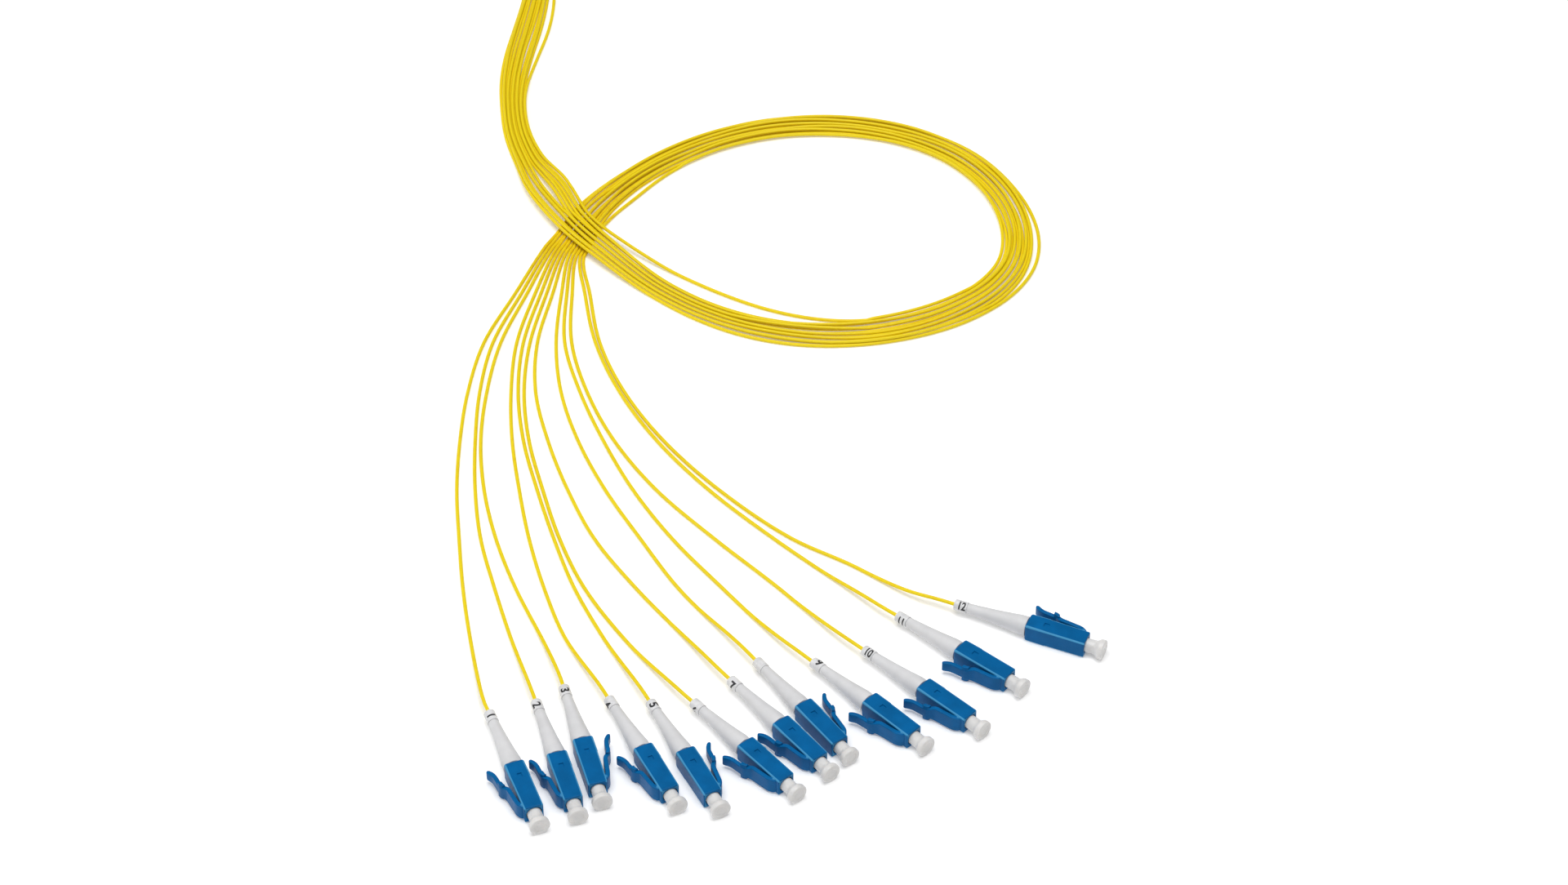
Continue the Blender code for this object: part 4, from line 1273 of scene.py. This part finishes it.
def strap_shape(low, high):
    """Hook-and-loop strap: a thin band with a rounded end that lies over its own start."""
    tie = settings("tie")
    path = strap_path(low, high, tie.play, tie.thickness)
    path = curve_through([Vector((x, z, 0.0)) for x, z in path], samples=3)
    dense = evenly_spaced(path, STRAP_POINTS)
    run_length = route_length(dense)
    tip = tie.width / 2
    rings = []
    done = 0.0
    for k, point in enumerate(dense):
        done += (point - dense[max(k - 1, 0)]).length
        left = max(run_length - done, STRAP_TIP_REST)
        half = tip * math.sqrt(max(1.0 - (1.0 - min(left / tip, 1.0)) ** 2, STRAP_TIP_SHARE))
        rings.append(strip_ring(dense, k, 0.0, half, tie.thickness / 2,
                                tie.thickness * STRAP_CORNER))
    return mesh_of(loft(rings), "strap", sharp=50)


def make_ties():
    """A strap at each of the two places round the coil."""
    finish = strap_finish()
    half = COIL_HALF_WIDTH + settings("fibre").diameter / 2 + COIL_COVER
    bottom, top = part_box("coil")[0].z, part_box("coil")[1].z
    shape = strap_shape(Vector((COIL_RADIUS - half, bottom)), Vector((COIL_RADIUS + half, top)))
    middle = coil_middle()
    for number, angle in enumerate(TIE_ANGLES, start=1):
        turn = Matrix.Rotation(math.radians(angle), 4, "Z")
        place = Matrix.Translation((middle.x, middle.y, 0.0)) @ turn
        name = f"coil_strap_{number}"
        piece = linked(name, placed(shape, name, place), [finish])
        declare(piece, BODY, [f"coil_tie_{number}"])


def add_area(name, place, size, power, spread_angle):
    """Area light over the middle of the picture, turned towards it."""
    light = bpy.data.lights.new(name, "AREA")
    light.shape = "RECTANGLE"
    light.size, light.size_y = size
    light.energy = power
    light.spread = spread_angle
    made = linked(name, light)
    made.location = SHIFT + place
    made.rotation_euler = (-place).to_track_quat("-Z", "Y").to_euler()


def make_camera():
    """Camera at the photograph's viewing angle."""
    stage = settings("stage")
    data = bpy.data.cameras.new("photo_camera")
    data.lens = stage.lens
    data.sensor_width = SENSOR_WIDTH
    data.clip_start, data.clip_end = CLIP
    camera = linked("photo_camera", data)
    away = Vector((0.0, -math.cos(stage.elevation), math.sin(stage.elevation)))
    camera.location = SHIFT + away * stage.distance
    camera.rotation_euler = (math.pi / 2 - stage.elevation, 0.0, 0.0)
    bpy.context.scene.camera = camera


def make_stage():
    """Pale floor, even studio light, a soft light from above and a weak one from the left."""
    stage = settings("stage")
    bpy.context.scene.view_settings.view_transform = "Standard"
    finish, _, shader = new_finish("floor_pale", stage.floor, roughness=0.85)
    set_inputs(shader, {"Specular IOR Level": 0.1, "Emission Color": (1.0, 1.0, 1.0, 1.0),
                        "Emission Strength": stage.floor_glow})
    mesh = bpy.data.meshes.new("floor")
    corners = [(-1, -1), (1, -1), (1, 1), (-1, 1)]
    mesh.from_pydata([(x * FLOOR_HALF, y * FLOOR_HALF, -FLOOR_DROP) for x, y in corners], [],
                     [(0, 1, 2, 3)])
    linked("floor", mesh, [finish])
    world = bpy.data.worlds.new("studio")
    world.use_nodes = True
    set_inputs(world.node_tree.nodes["Background"],
               {"Color": (1.0, 1.0, 1.0, 1.0), "Strength": stage.ambient})
    bpy.context.scene.world = world
    add_area("key_top", KEY_PLACE, KEY_SIZE, stage.key, KEY_SPREAD)
    add_area("edge_left", EDGE_PLACE, EDGE_SIZE, stage.edge, EDGE_SPREAD)


class PIGTAILS_OT_camera(bpy.types.Operator):
    """Add the camera"""
    bl_idname = "pigtails.camera"
    bl_label = "Camera"

    def execute(self, context):
        make_camera()
        return {"FINISHED"}


class PIGTAILS_OT_fibres(bpy.types.Operator):
    """Build the twelve fibres at their whole length"""
    bl_idname = "pigtails.fibres"
    bl_label = "Fibres"

    def execute(self, context):
        make_fibres()
        return {"FINISHED"}


class PIGTAILS_OT_housings(bpy.types.Operator):
    """Build the twelve plug housings with their latch levers"""
    bl_idname = "pigtails.housings"
    bl_label = "Housings"

    def execute(self, context):
        add_to_plugs("plug_body_", housing_shape(), housing_finish(), "housing_")
        return {"FINISHED"}


class PIGTAILS_OT_ferrules(bpy.types.Operator):
    """Build the twelve ceramic ferrules"""
    bl_idname = "pigtails.ferrules"
    bl_label = "Ferrules"

    def execute(self, context):
        add_to_plugs("ferrule_", ferrule_shape(), ceramic_finish(), "housing_")
        return {"FINISHED"}


class PIGTAILS_OT_boots(bpy.types.Operator):
    """Build the twelve tapered boots"""
    bl_idname = "pigtails.boots"
    bl_label = "Boots"

    def execute(self, context):
        add_to_plugs("strain_boot_", boot_shape(), boot_finish(), "boot_")
        return {"FINISHED"}


class PIGTAILS_OT_sleeves(bpy.types.Operator):
    """Build the twelve numbered sleeves"""
    bl_idname = "pigtails.sleeves"
    bl_label = "Sleeves"

    def execute(self, context):
        make_sleeves()
        return {"FINISHED"}


class PIGTAILS_OT_caps(bpy.types.Operator):
    """Build the twelve dust caps"""
    bl_idname = "pigtails.caps"
    bl_label = "Caps"

    def execute(self, context):
        add_to_plugs("dust_cap_", cap_shape(), cap_finish(), "cap_",
                     body="cap_")
        return {"FINISHED"}


class PIGTAILS_OT_ties(bpy.types.Operator):
    """Build the two straps round the coil"""
    bl_idname = "pigtails.ties"
    bl_label = "Ties"

    def execute(self, context):
        make_ties()
        return {"FINISHED"}


class PIGTAILS_OT_stage(bpy.types.Operator):
    """Add the floor and the lights"""
    bl_idname = "pigtails.stage"
    bl_label = "Stage"

    def execute(self, context):
        make_stage()
        return {"FINISHED"}


OPERATORS = [
    PIGTAILS_OT_camera, PIGTAILS_OT_fibres, PIGTAILS_OT_housings, PIGTAILS_OT_ferrules,
    PIGTAILS_OT_boots, PIGTAILS_OT_sleeves, PIGTAILS_OT_caps, PIGTAILS_OT_ties, PIGTAILS_OT_stage,
]
GROUPS = {"fibre": FibreSettings, "housing": HousingSettings, "latch": LatchSettings,
          "ferrule": FerruleSettings, "boot": BootSettings, "sleeve": SleeveSettings,
          "cap": CapSettings, "tie": TieSettings, "stage": StageSettings}


class PIGTAILS_PT_panel(bpy.types.Panel):
    """Sizes and colours of the bundle, and the steps that build it"""
    bl_idname = "PIGTAILS_PT_panel"
    bl_label = "Fibre Pigtails"
    bl_space_type = "VIEW_3D"
    bl_region_type = "UI"
    bl_category = "Pigtails"

    def draw(self, context):
        for kind, group in GROUPS.items():
            box = self.layout.box()
            box.label(text=kind.title())
            for name in group.__annotations__:
                box.prop(settings(kind), name)
        for made in OPERATORS:
            self.layout.operator(made.bl_idname)


def register():
    """Adds the settings, the operators and the panel."""
    for kind, group in GROUPS.items():
        bpy.utils.register_class(group)
        setattr(bpy.types.Scene, "pigtail_" + kind, PointerProperty(type=group))
    for made in [*OPERATORS, PIGTAILS_PT_panel]:
        bpy.utils.register_class(made)


def unregister():
    """Takes them away again."""
    for made in [PIGTAILS_PT_panel, *reversed(OPERATORS)]:
        bpy.utils.unregister_class(made)
    for kind, group in GROUPS.items():
        delattr(bpy.types.Scene, "pigtail_" + kind)
        bpy.utils.unregister_class(group)


def main():
    """Builds every piece in turn."""
    register()
    for made in OPERATORS:
        getattr(bpy.ops.pigtails, made.bl_idname.split(".")[1])()


if __name__ == "__main__":
    main()
